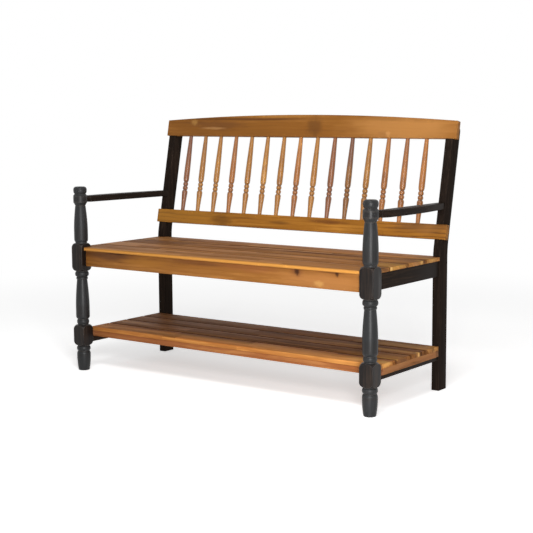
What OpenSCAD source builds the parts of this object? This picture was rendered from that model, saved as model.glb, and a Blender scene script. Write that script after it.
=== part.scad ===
// Slatted bench with turned front posts, a spindle back, two arms and a low shelf.
// Millimetres, +Z up, +X to the right of someone who faces the bench, +Y towards its back.
// The origin lies on the floor, in the middle of the bench's width and depth.

/* [Front posts] */
// Distance between the centres of the two front posts
post_span = 1218; // [1000:1:1400]
// Side of the square stock that a front post is turned from
post_w = 50; // [46:0.5:56]
// Bevel along the edges of the square blocks of a post
post_edge = 1.5; // [0.5:0.5:3]
// Height of a turned shoulder between a square block and a neck
shoulder_h = 18; // [12:0.5:22]
// Height of the full bead below each block and above the lower block
bead_h = 17; // [14:0.5:19]
// Height of the plain barrel that takes the arm
barrel_h = 24; // [22:0.5:30]
// Height of the neck and cap above the barrel
finial_h = 32; // [28:0.5:45]

/* [Back legs] */
// Distance from the post centres back to the front face of the legs
leg_set = 424; // [380:1:480]
// Width of a back leg, seen from the front
leg_w = 28; // [24:0.5:34]
// Depth of a back leg below the seat
leg_d = 51; // [48:0.5:60]
// Depth of a back leg where it leans, square to the lean
leg_top_d = 47; // [42:0.5:47.5]
// How far a leg's outer face lies inside the post's outer face
leg_inset = 17.5; // [12:0.5:20]
// Angle by which the back leans
lean = 11.65; // [8:0.05:14]
// Height of the bend on the front face of a leg
lean_z = 460; // [455:1:475]
// Length of a leg above its bend
leg_top_l = 430; // [425:1:436]
// Radius of the soft bend on the faces of a leg
bend_r = 280; // [200:10:320]
// Radius of the rounded top corner at the back of a leg
leg_round = 14; // [8:1:20]

/* [Back] */
// Thickness of both back rails
rail_t = 20; // [18:0.5:22]
// How far the back rails reach past the legs at each end
rail_over = 12; // [4:0.5:16]
// Distance along the lean from the bend to the lower rail
low_rail_v = 48.5; // [45:0.5:60]
// Height of the lower rail along the lean
low_rail_h = 50; // [42:0.5:56]
// Distance along the lean from the bend to the top rail
top_rail_v = 385; // [380:1:390]
// Height of the top rail at its ends, along the lean
top_rail_h = 60; // [50:0.5:64]
// How far the middle of the top rail rises above its ends
arch_rise = 21; // [10:1:40]
// Number of turned spindles
spindle_count = 15; // [9:1:15]
// Distance between the centres of neighbouring spindles
spindle_pitch = 73.4; // [60:0.1:76]
// Largest radius of a spindle
spindle_r = 10.7; // [9:0.1:14]
// Radius of a spindle where it enters the top rail
spindle_end_r = 6.9; // [6.6:0.1:8]
// Radius of a spindle's tenons
spindle_tenon_r = 6; // [5:0.25:6.25]
// Length of a spindle's tenons
spindle_tenon_l = 12; // [8:0.5:16]

/* [Arms] */
// Height of the middle of an arm at the front post
arm_z = 620; // [600:1:640]
// How much lower an arm's back end lies
arm_drop = 3; // [0:0.5:6]
// Thickness of an arm
arm_t = 22; // [16:0.5:22]
// Width of an arm at its front end
arm_front_w = 37; // [30:0.5:44]
// How far an arm's outer edge bows out beyond a straight line
arm_bow = 16.5; // [4:0.5:20]
// How far an arm's outer edge ends inside the outer face of the leg
arm_end_inset = 8; // [0:0.5:10]
// Radius of the round neck that an arm enters the post with
arm_neck_r = 9.3; // [8:0.1:10]
// Length of the part of the neck that shows
arm_neck_l = 13; // [8:0.5:20]
// Depth of the neck in the post
arm_socket_l = 20; // [12:0.5:26]

/* [Seat] */
// Height of the top of the seat
seat_z = 450; // [430:1:455]
// Thickness of the slats of the seat
seat_t = 12.5; // [10:0.5:16]
// Number of slats in the seat
seat_slats = 4; // [3:1:6]
// Gap between the slats of the seat
seat_gap = 5; // [3:0.5:8]
// Extra width of the front slat of the seat
front_slat_extra = 5; // [0:0.5:12]
// How far the front slat reaches past the front apron
nosing = 13; // [6:0.5:18]
// How far the seat reaches in between the legs
seat_back_lap = 19; // [16:0.5:26]
// How far the slats reach past the outer faces of the side aprons
slat_over = 3.5; // [1:0.5:6]
// Clearance of the slats round the posts and the legs
notch_clear = 0.5; // [0.3:0.1:1.5]

/* [Seat frame] */
// Height of the front apron
front_apron_h = 56.5; // [45:0.5:65]
// Thickness of the front apron and the back apron
apron_t = 20; // [16:0.5:22]
// How far the front apron is set behind the front of the posts
front_apron_set = 21; // [18:0.5:22]
// How far the back apron is set behind the front of the legs
back_apron_set = 6.5; // [6:0.5:10]
// Height of the side aprons, the back apron and the seat brace
side_apron_h = 52.5; // [40:0.5:55]
// Thickness of the side aprons
side_apron_t = 22; // [18:0.5:22]
// How far the side aprons and the bearers lie inside the outer faces of the legs
side_recess = 4.5; // [4:0.5:8]
// Thickness of the seat brace, the shelf brace and the seat cleats
brace_t = 22; // [18:0.5:30]
// Height of the seat cleats
cleat_h = 20; // [18:0.5:24]

/* [Shelf] */
// Height of the top of the shelf
shelf_z = 152; // [140:1:180]
// Thickness of the slats of the shelf
shelf_t = 14.5; // [12:0.5:18]
// Number of slats in the shelf
shelf_slats = 4; // [3:1:5]
// Gap between the slats of the shelf
shelf_gap = 8; // [2:0.5:10]
// Distance from the back of the posts to the front of the shelf
shelf_set = 23; // [10:0.5:40]
// How far the front slat reaches past the front rail of the shelf
shelf_nose = 2; // [0:0.5:6]
// Gap between the back of the shelf and the legs
shelf_back_gap = 2; // [1:0.5:8]
// Height of the rails of the shelf
shelf_rail_h = 20.5; // [18:0.5:24]
// Thickness of the rails of the shelf
shelf_rail_t = 20; // [18:0.5:26]
// Thickness of the flat bearers under the ends of the shelf
bearer_t = 14; // [12:0.5:18]
// Width of the flat bearers under the ends of the shelf
bearer_w = 28; // [26:0.5:29]

/* [Joints] */
// Thickness of the stub tenons on the aprons and the bearers
tenon_t = 8; // [6:0.5:8.5]
// Length of the stub tenons on the aprons and the bearers
tenon_l = 10; // [6:0.5:10.5]
// Height of the shoulders above and below a tenon of an apron
tenon_shoulder = 7; // [4:0.5:9]
// Height of the shoulders above and below a tenon of a bearer
bearer_shoulder = 3; // [2:0.5:5]
// Height of the shoulders above and below a tenon of the shelf's crosspieces
shelf_shoulder = 6; // [4:0.5:7]
// Clearance of a tenon in its mortise, on each side
fit_gap = 0.15; // [0.1:0.05:0.3]
// Radius of the shank of a screw
screw_r = 2.2; // [1.8:0.1:2.5]
// Radius of the head of a screw
screw_head_r = 4.4; // [3.6:0.1:5]
// Height of the head of a screw
screw_head_h = 3; // [2:0.5:4]
// How far a screw reaches into the piece that it holds
screw_bite = 9; // [7:0.5:9.5]

/* [Hidden] */
$fn = 48;
curve_steps = 8;
far = 2000;

// Places seen from the front
post_x = post_span / 2;
post_inner_x = post_x - post_w / 2;
leg_outer_x = post_x + post_w / 2 - leg_inset;
leg_inner_x = leg_outer_x - leg_w;
leg_middle_x = leg_outer_x - leg_w / 2;
side_outer_x = leg_outer_x - side_recess;
side_inner_x = side_outer_x - side_apron_t;
slat_end_x = side_outer_x + slat_over;
rail_end_x = leg_outer_x + rail_over;

// Places seen from the side, counted from the line through the post centres
post_back_y = post_w / 2;
apron_front_y = front_apron_set - post_w / 2;
apron_back_y = apron_front_y + apron_t;
back_apron_y = leg_set + back_apron_set;
seat_front_y = apron_front_y - nosing;
seat_back_y = leg_set + seat_back_lap;
shelf_front_y = post_back_y + shelf_set;
shelf_back_y = leg_set - shelf_back_gap;

// Heights
seat_low_z = seat_z - seat_t;
front_apron_z = seat_low_z - front_apron_h;
side_apron_z = seat_low_z - side_apron_h;
shelf_low_z = shelf_z - shelf_t;
shelf_rail_z = shelf_low_z - shelf_rail_h;
bearer_z = shelf_rail_z - bearer_t;
barrel_lift = 2;
barrel_z = arm_z - barrel_h / 2 + barrel_lift;
post_h = barrel_z + barrel_h + finial_h;

// Depth of the whole bench, from the posts to the rounded top corners of the legs
round_v = leg_top_l - leg_round;
round_w = leg_top_d - leg_round;
back_y = leg_set + round_v * sin(lean) + round_w * cos(lean) + leg_round;
centre_y = (back_y - post_w / 2) / 2;

// Square blocks of a post, from the neck below each to the neck above it
block_margin = 18;
block_proud = 13;
low_block_margin = 11.5;
low_block_proud = 15;
high_block = [front_apron_z - block_margin, seat_z + block_proud];
low_block = [bearer_z - low_block_margin, shelf_z + low_block_proud];

// Slats
seat_slat_w = (seat_back_y - seat_front_y - front_slat_extra - seat_gap * (seat_slats - 1)) / seat_slats;
shelf_slat_w = (shelf_back_y - shelf_front_y - shelf_nose - shelf_gap * (shelf_slats - 1)) / shelf_slats;

// Screws
head_sink = 1;
screw_clear = 0.1;
low_rail_shares = [0.25, 0.75];
top_rail_shares = [0.2, 0.45];
low_rail_screws = [for (share = low_rail_shares) low_rail_v + low_rail_h * share];
top_rail_screws = [for (share = top_rail_shares) top_rail_v + top_rail_h * share];
bearer_screw_inset = 60;

function two_digits(i) = i < 10 ? str("0", i) : str(i);

// Outline pieces for turned parts, as [radius, height] points from low to high

// A bead: half an ellipse from one neck to the next
function bead(z, h, r_neck, r_full) =
    [for (i = [0 : 2 * curve_steps])
        let (a = 90 * i / curve_steps)
        [r_neck + (r_full - r_neck) * sin(a), z + h * (1 - cos(a)) / 2]];

// A round shoulder that opens upwards, from a neck to a full radius
function shoulder_up(z, h, r_neck, r_full) =
    [for (i = [0 : curve_steps])
        let (a = 90 * i / curve_steps)
        [r_neck + (r_full - r_neck) * sin(a), z + h * (1 - cos(a))]];

// The same shoulder upside down, from a full radius to a neck
function shoulder_down(z, h, r_full, r_neck) =
    [for (i = [0 : curve_steps])
        let (a = 90 * i / curve_steps)
        [r_neck + (r_full - r_neck) * cos(a), z + h * sin(a)]];

// A taper that leaves its start softly, and bends by the given power
function taper(z, h, r_start, r_end, power) =
    [for (i = [0 : curve_steps])
        let (t = i / curve_steps)
        [r_start + (r_end - r_start) * pow(t, power), z + h * t]];

// A taper that arrives softly at its end
function taper_in(z, h, r_start, r_end, power) =
    [for (i = [0 : curve_steps])
        let (t = i / curve_steps)
        [r_end + (r_start - r_end) * pow(1 - t, power), z + h * t]];

// Turned outline of a front post
belly_r = post_w / 2 - 0.3;
corner_spare = 0.5;
corner_r = norm([post_w / 2, post_w / 2 - post_edge]) + corner_spare;
bead_neck_r = belly_r - 4;
block_neck_r = belly_r - 3.5;
low_bead_r = belly_r - 2.7;
low_bead_neck_r = belly_r - 5.7;
baluster_neck_r = belly_r - 6.2;
baluster_round_h = 9;
baluster_power = 1.7;
neck_h = 2.5;
foot_r = 20;
foot_edge = 2;
foot_power = 2.2;
foot_round_h = 10;
small_bead_h = 9;
small_bead_r = 20.8;
flare_h = 12;
flare_power = 1.25;
cap_h = 25;
cap_rise = 14;
cap_r = 24;
cap_edge = 9.5;

foot_top_z = low_block[0] - 2 * neck_h - bead_h;
lower_start_z = low_block[1] + 2 * neck_h + bead_h;
lower_belly_l = 35;
lower_taper_z = lower_start_z + baluster_round_h + lower_belly_l;
lower_end_z = high_block[0] - 2 * neck_h - bead_h - small_bead_h;
upper_start_z = high_block[1] + 2 * neck_h;
upper_belly_l = 33;
upper_taper_z = upper_start_z + baluster_round_h + upper_belly_l;
upper_end_z = barrel_z - flare_h;

foot_outline = concat(
    [[0, 0], [foot_r - foot_edge, 0]],
    taper_in(foot_edge, foot_top_z - foot_round_h - foot_edge, foot_r, belly_r, foot_power),
    shoulder_down(foot_top_z - foot_round_h, foot_round_h, belly_r, bead_neck_r),
    bead(foot_top_z + neck_h, bead_h, bead_neck_r, belly_r)
);
low_block_outline = concat(
    shoulder_up(low_block[0], shoulder_h, block_neck_r, corner_r),
    shoulder_down(low_block[1] - shoulder_h, shoulder_h, corner_r, low_bead_neck_r),
    bead(low_block[1] + neck_h, bead_h, low_bead_neck_r, low_bead_r)
);
lower_baluster_outline = concat(
    shoulder_up(lower_start_z, baluster_round_h, low_bead_neck_r, belly_r),
    taper(lower_taper_z, lower_end_z - lower_taper_z, belly_r, baluster_neck_r, baluster_power),
    bead(lower_end_z, small_bead_h, baluster_neck_r, small_bead_r),
    bead(lower_end_z + small_bead_h + neck_h, bead_h, bead_neck_r, belly_r)
);
high_block_outline = concat(
    shoulder_up(high_block[0], shoulder_h, block_neck_r, corner_r),
    shoulder_down(high_block[1] - shoulder_h, shoulder_h, corner_r, block_neck_r),
    [[bead_neck_r, high_block[1] + neck_h]]
);
upper_baluster_outline = concat(
    shoulder_up(upper_start_z, baluster_round_h + neck_h, bead_neck_r, belly_r),
    taper(upper_taper_z, upper_end_z - upper_taper_z, belly_r, baluster_neck_r, baluster_power),
    taper(upper_end_z, flare_h, baluster_neck_r, belly_r, flare_power)
);
finial_outline = concat(
    taper_in(barrel_z + barrel_h, finial_h - cap_h, belly_r, bead_neck_r - 1, flare_power),
    shoulder_up(post_h - cap_h, cap_rise, bead_neck_r - 1, cap_r),
    shoulder_down(post_h - cap_h + cap_rise, cap_h - cap_rise, cap_r, cap_r - cap_edge),
    [[0, post_h]]
);
post_outline = concat(foot_outline, low_block_outline, lower_baluster_outline,
                      high_block_outline, upper_baluster_outline, finial_outline);

// Turned outline of a spindle, from the lower rail to the top rail
spindle_l = top_rail_v - low_rail_v - low_rail_h;
spindle_neck_r = 7.2;
vase_l = 68;
vase_power = 1.35;
vase_round_h = 9;
spindle_bead_h = 13;
spindle_bead_r = 9.5;
spindle_bead_neck_r = 6.6;
spindle_neck_h = 2.5;
spindle_bead_gap = 2;
lower_bead_z = vase_l + vase_round_h + spindle_neck_h;
upper_bead_z = lower_bead_z + spindle_bead_h + spindle_bead_gap;
upper_vase_z = upper_bead_z + spindle_bead_h + spindle_neck_h;
upper_vase_round_h = 15;
upper_vase_belly_l = 25;
upper_taper_v = upper_vase_z + upper_vase_round_h + upper_vase_belly_l;
spindle_outline = concat(
    [[0, -spindle_tenon_l], [spindle_tenon_r, -spindle_tenon_l], [spindle_tenon_r, 0]],
    taper(0, vase_l, spindle_neck_r, spindle_r, vase_power),
    shoulder_down(vase_l, vase_round_h, spindle_r, spindle_neck_r),
    bead(lower_bead_z, spindle_bead_h, spindle_bead_neck_r, spindle_bead_r),
    bead(upper_bead_z, spindle_bead_h, spindle_bead_neck_r, spindle_bead_r),
    shoulder_up(upper_vase_z, upper_vase_round_h, spindle_neck_r, spindle_r),
    taper(upper_taper_v, spindle_l - upper_taper_v, spindle_r, spindle_end_r, vase_power),
    [[spindle_tenon_r, spindle_l],
     [spindle_tenon_r, spindle_l + spindle_tenon_l],
     [0, spindle_l + spindle_tenon_l]]
);

// Moves a piece from the line of the post centres to the middle of the footprint
module to_origin() {
    translate([0, -centre_y, 0]) children();
}

// Draws a right-hand piece, or its mirror image on the left
module on_side(side) {
    if (side < 0) mirror([1, 0, 0]) children();
    else children();
}

// The frame of the leaning back: z runs up the front faces of the legs, y into their depth
module leaning() {
    translate([0, leg_set, lean_z]) rotate([-lean, 0, 0]) children();
}

// A box from its low corner to its high corner
module span_box(low, high) {
    translate(low) cube(high - low);
}

// A screw that points up, with the end of its tip at z = 0 and its head below
module screw(l) {
    rotate([180, 0, 0]) {
        cylinder(r = screw_r, h = l);
        translate([0, 0, l - screw_head_h]) cylinder(r = screw_head_r, h = screw_head_h);
    }
}

// The hole for such a screw, whose head lies at a given depth under the surface
module screw_hole(l, depth = head_sink) {
    rotate([180, 0, 0]) {
        cylinder(r = screw_r + screw_clear, h = l);
        translate([0, 0, l - screw_head_h])
            cylinder(r = screw_head_r + screw_clear, h = screw_head_h + depth + 1);
    }
}

// Tenons and mortises

// A stub tenon that points along +Y from y = 0, centred on x = 0, between two heights
module tenon_y(low_z, high_z, extra = 0) {
    half = tenon_t / 2 + extra;
    span_box([-half, -extra, low_z - extra], [half, tenon_l + extra, high_z + extra]);
}

module side_apron_tenons(extra = 0) {
    x = side_outer_x - side_apron_t / 2;
    low = side_apron_z + tenon_shoulder;
    high = seat_low_z - tenon_shoulder;
    translate([x, leg_set, 0]) tenon_y(low, high, extra);
    translate([x, post_back_y, 0]) mirror([0, 1, 0]) tenon_y(low, high, extra);
}

module bearer_tenons(extra = 0) {
    x = side_outer_x - bearer_w / 2;
    low = bearer_z + bearer_shoulder;
    high = bearer_z + bearer_t - bearer_shoulder;
    translate([x, leg_set, 0]) tenon_y(low, high, extra);
    translate([x, post_back_y, 0]) mirror([0, 1, 0]) tenon_y(low, high, extra);
}

module front_apron_tenon(extra = 0) {
    y = (apron_front_y + apron_back_y) / 2;
    translate([post_inner_x, y, 0]) rotate([0, 0, -90])
        tenon_y(front_apron_z + tenon_shoulder, seat_low_z - tenon_shoulder, extra);
}

module back_apron_tenon(extra = 0) {
    translate([leg_inner_x, back_apron_y + apron_t / 2, 0]) rotate([0, 0, -90])
        tenon_y(side_apron_z + tenon_shoulder, seat_low_z - tenon_shoulder, extra);
}

// Places of the screws

// Screws through a leg into both back rails, square to the lean
module at_rail_screws() {
    for (v = concat(low_rail_screws, top_rail_screws))
        leaning() translate([leg_middle_x, rail_t - screw_bite, v]) rotate([90, 0, 0]) children();
}

// Screw through a leg into the end of an arm
module at_arm_screw() {
    leaning() translate([leg_middle_x, -arm_screw_bite, arm_screw_v]) rotate([90, 0, 0]) children();
}

// Screws up through the cleats and the brace into the slats of the seat
module at_seat_screws() {
    for (x = [-cleat_x, 0, cleat_x], i = [1 : seat_slats])
        translate([x, seat_slat_y(i), seat_low_z + screw_bite]) children();
}

// Screws up through the end rails and the brace into the slats of the shelf
module at_shelf_screws() {
    for (x = [-shelf_screw_x, 0, shelf_screw_x], i = [1 : shelf_slats])
        translate([x, shelf_slat_y(i), shelf_low_z + screw_bite]) children();
}

// Screws up through the bearers into the end rails of the shelf
module at_bearer_screws() {
    for (x = [-bearer_screw_x, bearer_screw_x])
        for (y = [shelf_front_y + bearer_screw_inset, shelf_back_y - bearer_screw_inset])
            translate([x, y, shelf_rail_z + screw_bite]) children();
}

cleat_x = side_inner_x - brace_t / 2;
shelf_screw_x = slat_end_x - shelf_rail_t / 2;
bearer_screw_x = side_outer_x - 2 * screw_head_r;
arm_screw_v = (arm_z - arm_drop - lean_z) / cos(lean);
arm_screw_bite = 2 * screw_bite;
rail_screw_l = leg_top_d - rail_t + screw_bite - head_sink;
arm_screw_l = leg_top_d + arm_screw_bite - head_sink;
cleat_screw_l = cleat_h + screw_bite - head_sink;
shelf_screw_l = shelf_rail_h + screw_bite - head_sink;
bearer_screw_l = bearer_t + screw_bite - head_sink;

// Middle of slat number i, counted from the front, in a row whose front slat is wider
function slat_middle_y(i, front_y, w, gap, extra) =
    i == 1 ? front_y + (w + extra) / 2 : front_y + extra + (i - 1) * (w + gap) + w / 2;
function seat_slat_y(i) = slat_middle_y(i, seat_front_y, seat_slat_w, seat_gap, front_slat_extra);
function shelf_slat_y(i) = slat_middle_y(i, shelf_front_y, shelf_slat_w, shelf_gap, shelf_nose);

// Black frame

post_colour = [0.13, 0.13, 0.13];
wood_colour = [0.72, 0.44, 0.2];

module block_stock() {
    half = post_w / 2;
    cut = half - post_edge;
    linear_extrude(post_h)
        polygon([[half, -cut], [half, cut], [cut, half], [-cut, half],
                 [-half, cut], [-half, -cut], [-cut, -half], [cut, -half]]);
}

module front_post(side) {
    color(post_colour) on_side(side) difference() {
        translate([post_x, 0, 0]) intersection() {
            block_stock();
            rotate_extrude() polygon(post_outline);
        }
        side_apron_tenons(fit_gap);
        bearer_tenons(fit_gap);
        front_apron_tenon(fit_gap);
        arm_neck(fit_gap);
    }
}

// Soft bend of one face of a leg, where the face's line turns into the lean
function leg_bend(y, z, r) =
    [for (i = [0 : curve_steps])
        let (a = lean * i / curve_steps)
        [y + r * (1 - cos(a)), z - r * tan(lean / 2) + r * sin(a)]];

// Point of the leaning back at depth w and height v, seen from the side
function lean_point(w, v) =
    [leg_set + v * sin(lean) + w * cos(lean), lean_z + v * cos(lean) - w * sin(lean)];

leg_foot_edge = 2;
back_bend_v = (leg_d - leg_top_d * cos(lean)) / sin(lean);
back_bend_z = lean_point(leg_top_d, back_bend_v)[1];
leg_outline = concat(
    [[leg_set + leg_foot_edge, 0], [leg_set, leg_foot_edge]],
    leg_bend(leg_set, lean_z, bend_r),
    [lean_point(0, leg_top_l)],
    [for (i = [0 : curve_steps])
        let (a = 90 * i / curve_steps)
        lean_point(round_w + leg_round * sin(a), round_v + leg_round * cos(a))],
    [for (i = [curve_steps : -1 : 0]) leg_bend(leg_set + leg_d, back_bend_z, bend_r)[i]],
    [[leg_set + leg_d, leg_foot_edge], [leg_set + leg_d - leg_foot_edge, 0]]
);

// The cut in the front of a leg that a back rail lies in
module rail_housing(low, high) {
    span_box([leg_inner_x - 1, -1, low], [leg_outer_x + 1, rail_t, high]);
}

module back_leg(side) {
    color(post_colour) on_side(side) difference() {
        translate([leg_inner_x, 0, 0]) rotate([90, 0, 90]) linear_extrude(leg_w) polygon(leg_outline);
        leaning() rail_housing(low_rail_v, low_rail_v + low_rail_h);
        leaning() rail_housing(top_rail_v, leg_top_l + 1);
        side_apron_tenons(fit_gap);
        bearer_tenons(fit_gap);
        back_apron_tenon(fit_gap);
        at_rail_screws() screw_hole(rail_screw_l);
        at_arm_screw() screw_hole(arm_screw_l);
    }
}

// An arm lies in its own frame: y = 0 on the post's centre line, z = 0 in the middle of its thickness
arm_l = leg_set + (arm_z - lean_z) * tan(lean) + arm_t;
arm_angle = atan(arm_drop / leg_set);
arm_corner = 9;
arm_start_y = post_w / 2 + arm_neck_l;
arm_front_over = 2;
arm_outer_x = post_x + post_w / 2 + arm_front_over;
arm_inner_x = arm_outer_x - arm_front_w;
arm_end_x = leg_outer_x - arm_end_inset;

// Outer edge of an arm: a flat arc that bows out beyond its chord
function arm_edge(t) =
    [arm_outer_x + (arm_end_x - arm_outer_x) * t + 4 * arm_bow * t * (1 - t),
     arm_start_y + (arm_l - arm_start_y) * t];

arm_outline = concat(
    [[arm_inner_x, arm_start_y + arm_corner],
     [arm_inner_x + arm_corner, arm_start_y],
     [arm_outer_x - arm_corner, arm_start_y]],
    [for (i = [1 : 2 * curve_steps]) arm_edge(i / (2 * curve_steps))],
    [[leg_inner_x, arm_l]]
);

module along_arm() {
    translate([0, 0, arm_z]) rotate([-arm_angle, 0, 0]) children();
}

module arm_neck(extra = 0) {
    along_arm() translate([post_x, post_w / 2 - arm_socket_l - extra, 0]) rotate([-90, 0, 0])
        cylinder(r = arm_neck_r + extra, h = arm_socket_l + arm_neck_l + 1 + extra);
}

module arm(side) {
    color(post_colour) on_side(side) difference() {
        union() {
            arm_neck();
            along_arm() translate([0, 0, -arm_t / 2]) linear_extrude(arm_t) polygon(arm_outline);
        }
        leaning() span_box([0, 0, 0], [far, far, far]);
        at_arm_screw() screw_hole(arm_screw_l);
    }
}

module side_apron(side) {
    color(post_colour) on_side(side) union() {
        span_box([side_inner_x, post_back_y, side_apron_z], [side_outer_x, leg_set, seat_low_z]);
        side_apron_tenons();
    }
}

module bearer(side) {
    color(post_colour) on_side(side) difference() {
        union() {
            span_box([side_outer_x - bearer_w, post_back_y, bearer_z],
                     [side_outer_x, leg_set, shelf_rail_z]);
            bearer_tenons();
        }
        at_bearer_screws() screw_hole(bearer_screw_l);
    }
}

// Wooden seat

module front_apron() {
    color(wood_colour) union() {
        span_box([-post_inner_x, apron_front_y, front_apron_z], [post_inner_x, apron_back_y, seat_low_z]);
        for (side = [-1, 1]) on_side(side) front_apron_tenon();
    }
}

module back_apron() {
    color(wood_colour) union() {
        span_box([-leg_inner_x, back_apron_y, side_apron_z],
                 [leg_inner_x, back_apron_y + apron_t, seat_low_z]);
        for (side = [-1, 1]) on_side(side) back_apron_tenon();
    }
}

module seat_brace() {
    color(wood_colour) difference() {
        span_box([-brace_t / 2, apron_back_y, side_apron_z], [brace_t / 2, back_apron_y, seat_low_z]);
        at_seat_screws() screw_hole(cleat_screw_l, side_apron_h - cleat_h + head_sink);
    }
}

module seat_cleat(side) {
    color(wood_colour) on_side(side) difference() {
        span_box([side_inner_x - brace_t, post_back_y, seat_low_z - cleat_h],
                 [side_inner_x, back_apron_y, seat_low_z]);
        at_seat_screws() screw_hole(cleat_screw_l);
    }
}

// A flat board along the bench, around a middle line and between two heights
module slat(middle_y, w, low_z, high_z) {
    span_box([-slat_end_x, middle_y - w / 2, low_z], [slat_end_x, middle_y + w / 2, high_z]);
}

// What rounding takes off the front edge of the seat
module nosing_cut() {
    nose_r = seat_t / 2;
    difference() {
        span_box([-far, seat_front_y - 1, seat_low_z - 1], [far, seat_front_y + nose_r, seat_z + 1]);
        translate([-far, seat_front_y + nose_r, seat_low_z + nose_r]) rotate([0, 90, 0])
            cylinder(r = nose_r, h = 2 * far);
    }
}

module seat_slat(i) {
    color(wood_colour) difference() {
        slat(seat_slat_y(i), seat_slat_w + (i == 1 ? front_slat_extra : 0), seat_low_z, seat_z);
        if (i == 1) nosing_cut();
        for (side = [-1, 1]) on_side(side) {
            span_box([post_inner_x - notch_clear, -far, 0], [far, post_back_y + notch_clear, far]);
            span_box([leg_inner_x - notch_clear, leg_set - notch_clear, 0], [far, far, far]);
        }
        at_seat_screws() screw_hole(cleat_screw_l);
    }
}

// Wooden shelf

shelf_inside_y = [shelf_front_y + shelf_nose + shelf_rail_t, shelf_back_y - shelf_rail_t];

// Tenons at both ends of a crosspiece of the shelf, centred on the given x
module shelf_tenons(x, extra = 0) {
    low = shelf_rail_z + shelf_shoulder;
    high = shelf_low_z - shelf_shoulder;
    translate([x, shelf_inside_y[1], 0]) tenon_y(low, high, extra);
    translate([x, shelf_inside_y[0], 0]) mirror([0, 1, 0]) tenon_y(low, high, extra);
}

module shelf_rail(y) {
    color(wood_colour) difference() {
        span_box([-slat_end_x, y, shelf_rail_z], [slat_end_x, y + shelf_rail_t, shelf_low_z]);
        for (x = [-shelf_screw_x, 0, shelf_screw_x]) shelf_tenons(x, fit_gap);
    }
}

module shelf_end_rail(side) {
    color(wood_colour) on_side(side) difference() {
        union() {
            span_box([slat_end_x - shelf_rail_t, shelf_inside_y[0], shelf_rail_z],
                     [slat_end_x, shelf_inside_y[1], shelf_low_z]);
            shelf_tenons(shelf_screw_x);
        }
        at_shelf_screws() screw_hole(shelf_screw_l);
        at_bearer_screws() screw_hole(bearer_screw_l);
    }
}

module shelf_brace() {
    color(wood_colour) difference() {
        union() {
            span_box([-brace_t / 2, shelf_inside_y[0], shelf_rail_z],
                     [brace_t / 2, shelf_inside_y[1], shelf_low_z]);
            shelf_tenons(0);
        }
        at_shelf_screws() screw_hole(shelf_screw_l);
    }
}

module shelf_slat(i) {
    color(wood_colour) difference() {
        slat(shelf_slat_y(i), shelf_slat_w + (i == 1 ? shelf_nose : 0), shelf_low_z, shelf_z);
        at_shelf_screws() screw_hole(shelf_screw_l);
    }
}

// Leaning back

module top_rail() {
    rise_steps = 3 * curve_steps;
    color(wood_colour) difference() {
        leaning() translate([0, rail_t, top_rail_v]) rotate([90, 0, 0]) linear_extrude(rail_t)
            polygon(concat(
                [[-rail_end_x, 0], [rail_end_x, 0]],
                [for (i = [0 : rise_steps])
                    let (t = 1 - 2 * i / rise_steps)
                    [rail_end_x * t, top_rail_h + arch_rise * (1 - t * t)]]
            ));
        spindle_sockets();
        for (side = [-1, 1]) on_side(side) at_rail_screws() screw_hole(rail_screw_l);
    }
}

module lower_rail() {
    color(wood_colour) difference() {
        leaning() span_box([-rail_end_x, 0, low_rail_v], [rail_end_x, rail_t, low_rail_v + low_rail_h]);
        spindle_sockets();
        for (side = [-1, 1]) on_side(side) at_rail_screws() screw_hole(rail_screw_l);
    }
}

function spindle_x(i) = (i - (spindle_count + 1) / 2) * spindle_pitch;

module at_spindle(i) {
    leaning() translate([spindle_x(i), rail_t / 2, low_rail_v + low_rail_h]) children();
}

module spindle_sockets() {
    for (i = [1 : spindle_count]) at_spindle(i) translate([0, 0, -spindle_tenon_l - fit_gap])
        cylinder(r = spindle_tenon_r + fit_gap, h = spindle_l + 2 * (spindle_tenon_l + fit_gap));
}

module spindle(i) {
    color(wood_colour) at_spindle(i) rotate_extrude() polygon(spindle_outline);
}

// Screws

screw_colour = [0.6, 0.6, 0.62];

module rail_screws() {
    color(screw_colour) for (side = [-1, 1]) on_side(side) at_rail_screws() screw(rail_screw_l);
}

module arm_screws() {
    color(screw_colour) for (side = [-1, 1]) on_side(side) at_arm_screw() screw(arm_screw_l);
}

module seat_screws() {
    color(screw_colour) at_seat_screws() screw(cleat_screw_l);
}

module shelf_screws() {
    color(screw_colour) at_shelf_screws() screw(shelf_screw_l);
}

module bearer_screws() {
    color(screw_colour) at_bearer_screws() screw(bearer_screw_l);
}

to_origin() front_post(-1);  // front_post_left
to_origin() front_post(1);  // front_post_right
to_origin() back_leg(-1);  // back_leg_left
to_origin() back_leg(1);  // back_leg_right
to_origin() arm(-1);  // arm_left
to_origin() arm(1);  // arm_right
to_origin() side_apron(-1);  // side_apron_left
to_origin() side_apron(1);  // side_apron_right
to_origin() bearer(-1);  // bearer_left
to_origin() bearer(1);  // bearer_right
to_origin() front_apron();
to_origin() back_apron();
to_origin() seat_brace();
to_origin() seat_cleat(-1);  // seat_cleat_left
to_origin() seat_cleat(1);  // seat_cleat_right
to_origin() top_rail();
to_origin() lower_rail();
to_origin() shelf_rail(shelf_front_y + shelf_nose);  // shelf_front_rail
to_origin() shelf_rail(shelf_back_y - shelf_rail_t);  // shelf_back_rail
to_origin() shelf_end_rail(-1);  // shelf_end_rail_left
to_origin() shelf_end_rail(1);  // shelf_end_rail_right
to_origin() shelf_brace();
to_origin() rail_screws();
to_origin() arm_screws();
to_origin() seat_screws();
to_origin() shelf_screws();
to_origin() bearer_screws();
for (i = [1 : seat_slats])
    to_origin() seat_slat(i);
for (i = [1 : shelf_slats])
    to_origin() shelf_slat(i);
for (i = [1 : spindle_count])
    to_origin() spindle(i);
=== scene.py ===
import bpy
import math
from mathutils import Matrix, Vector


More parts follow.
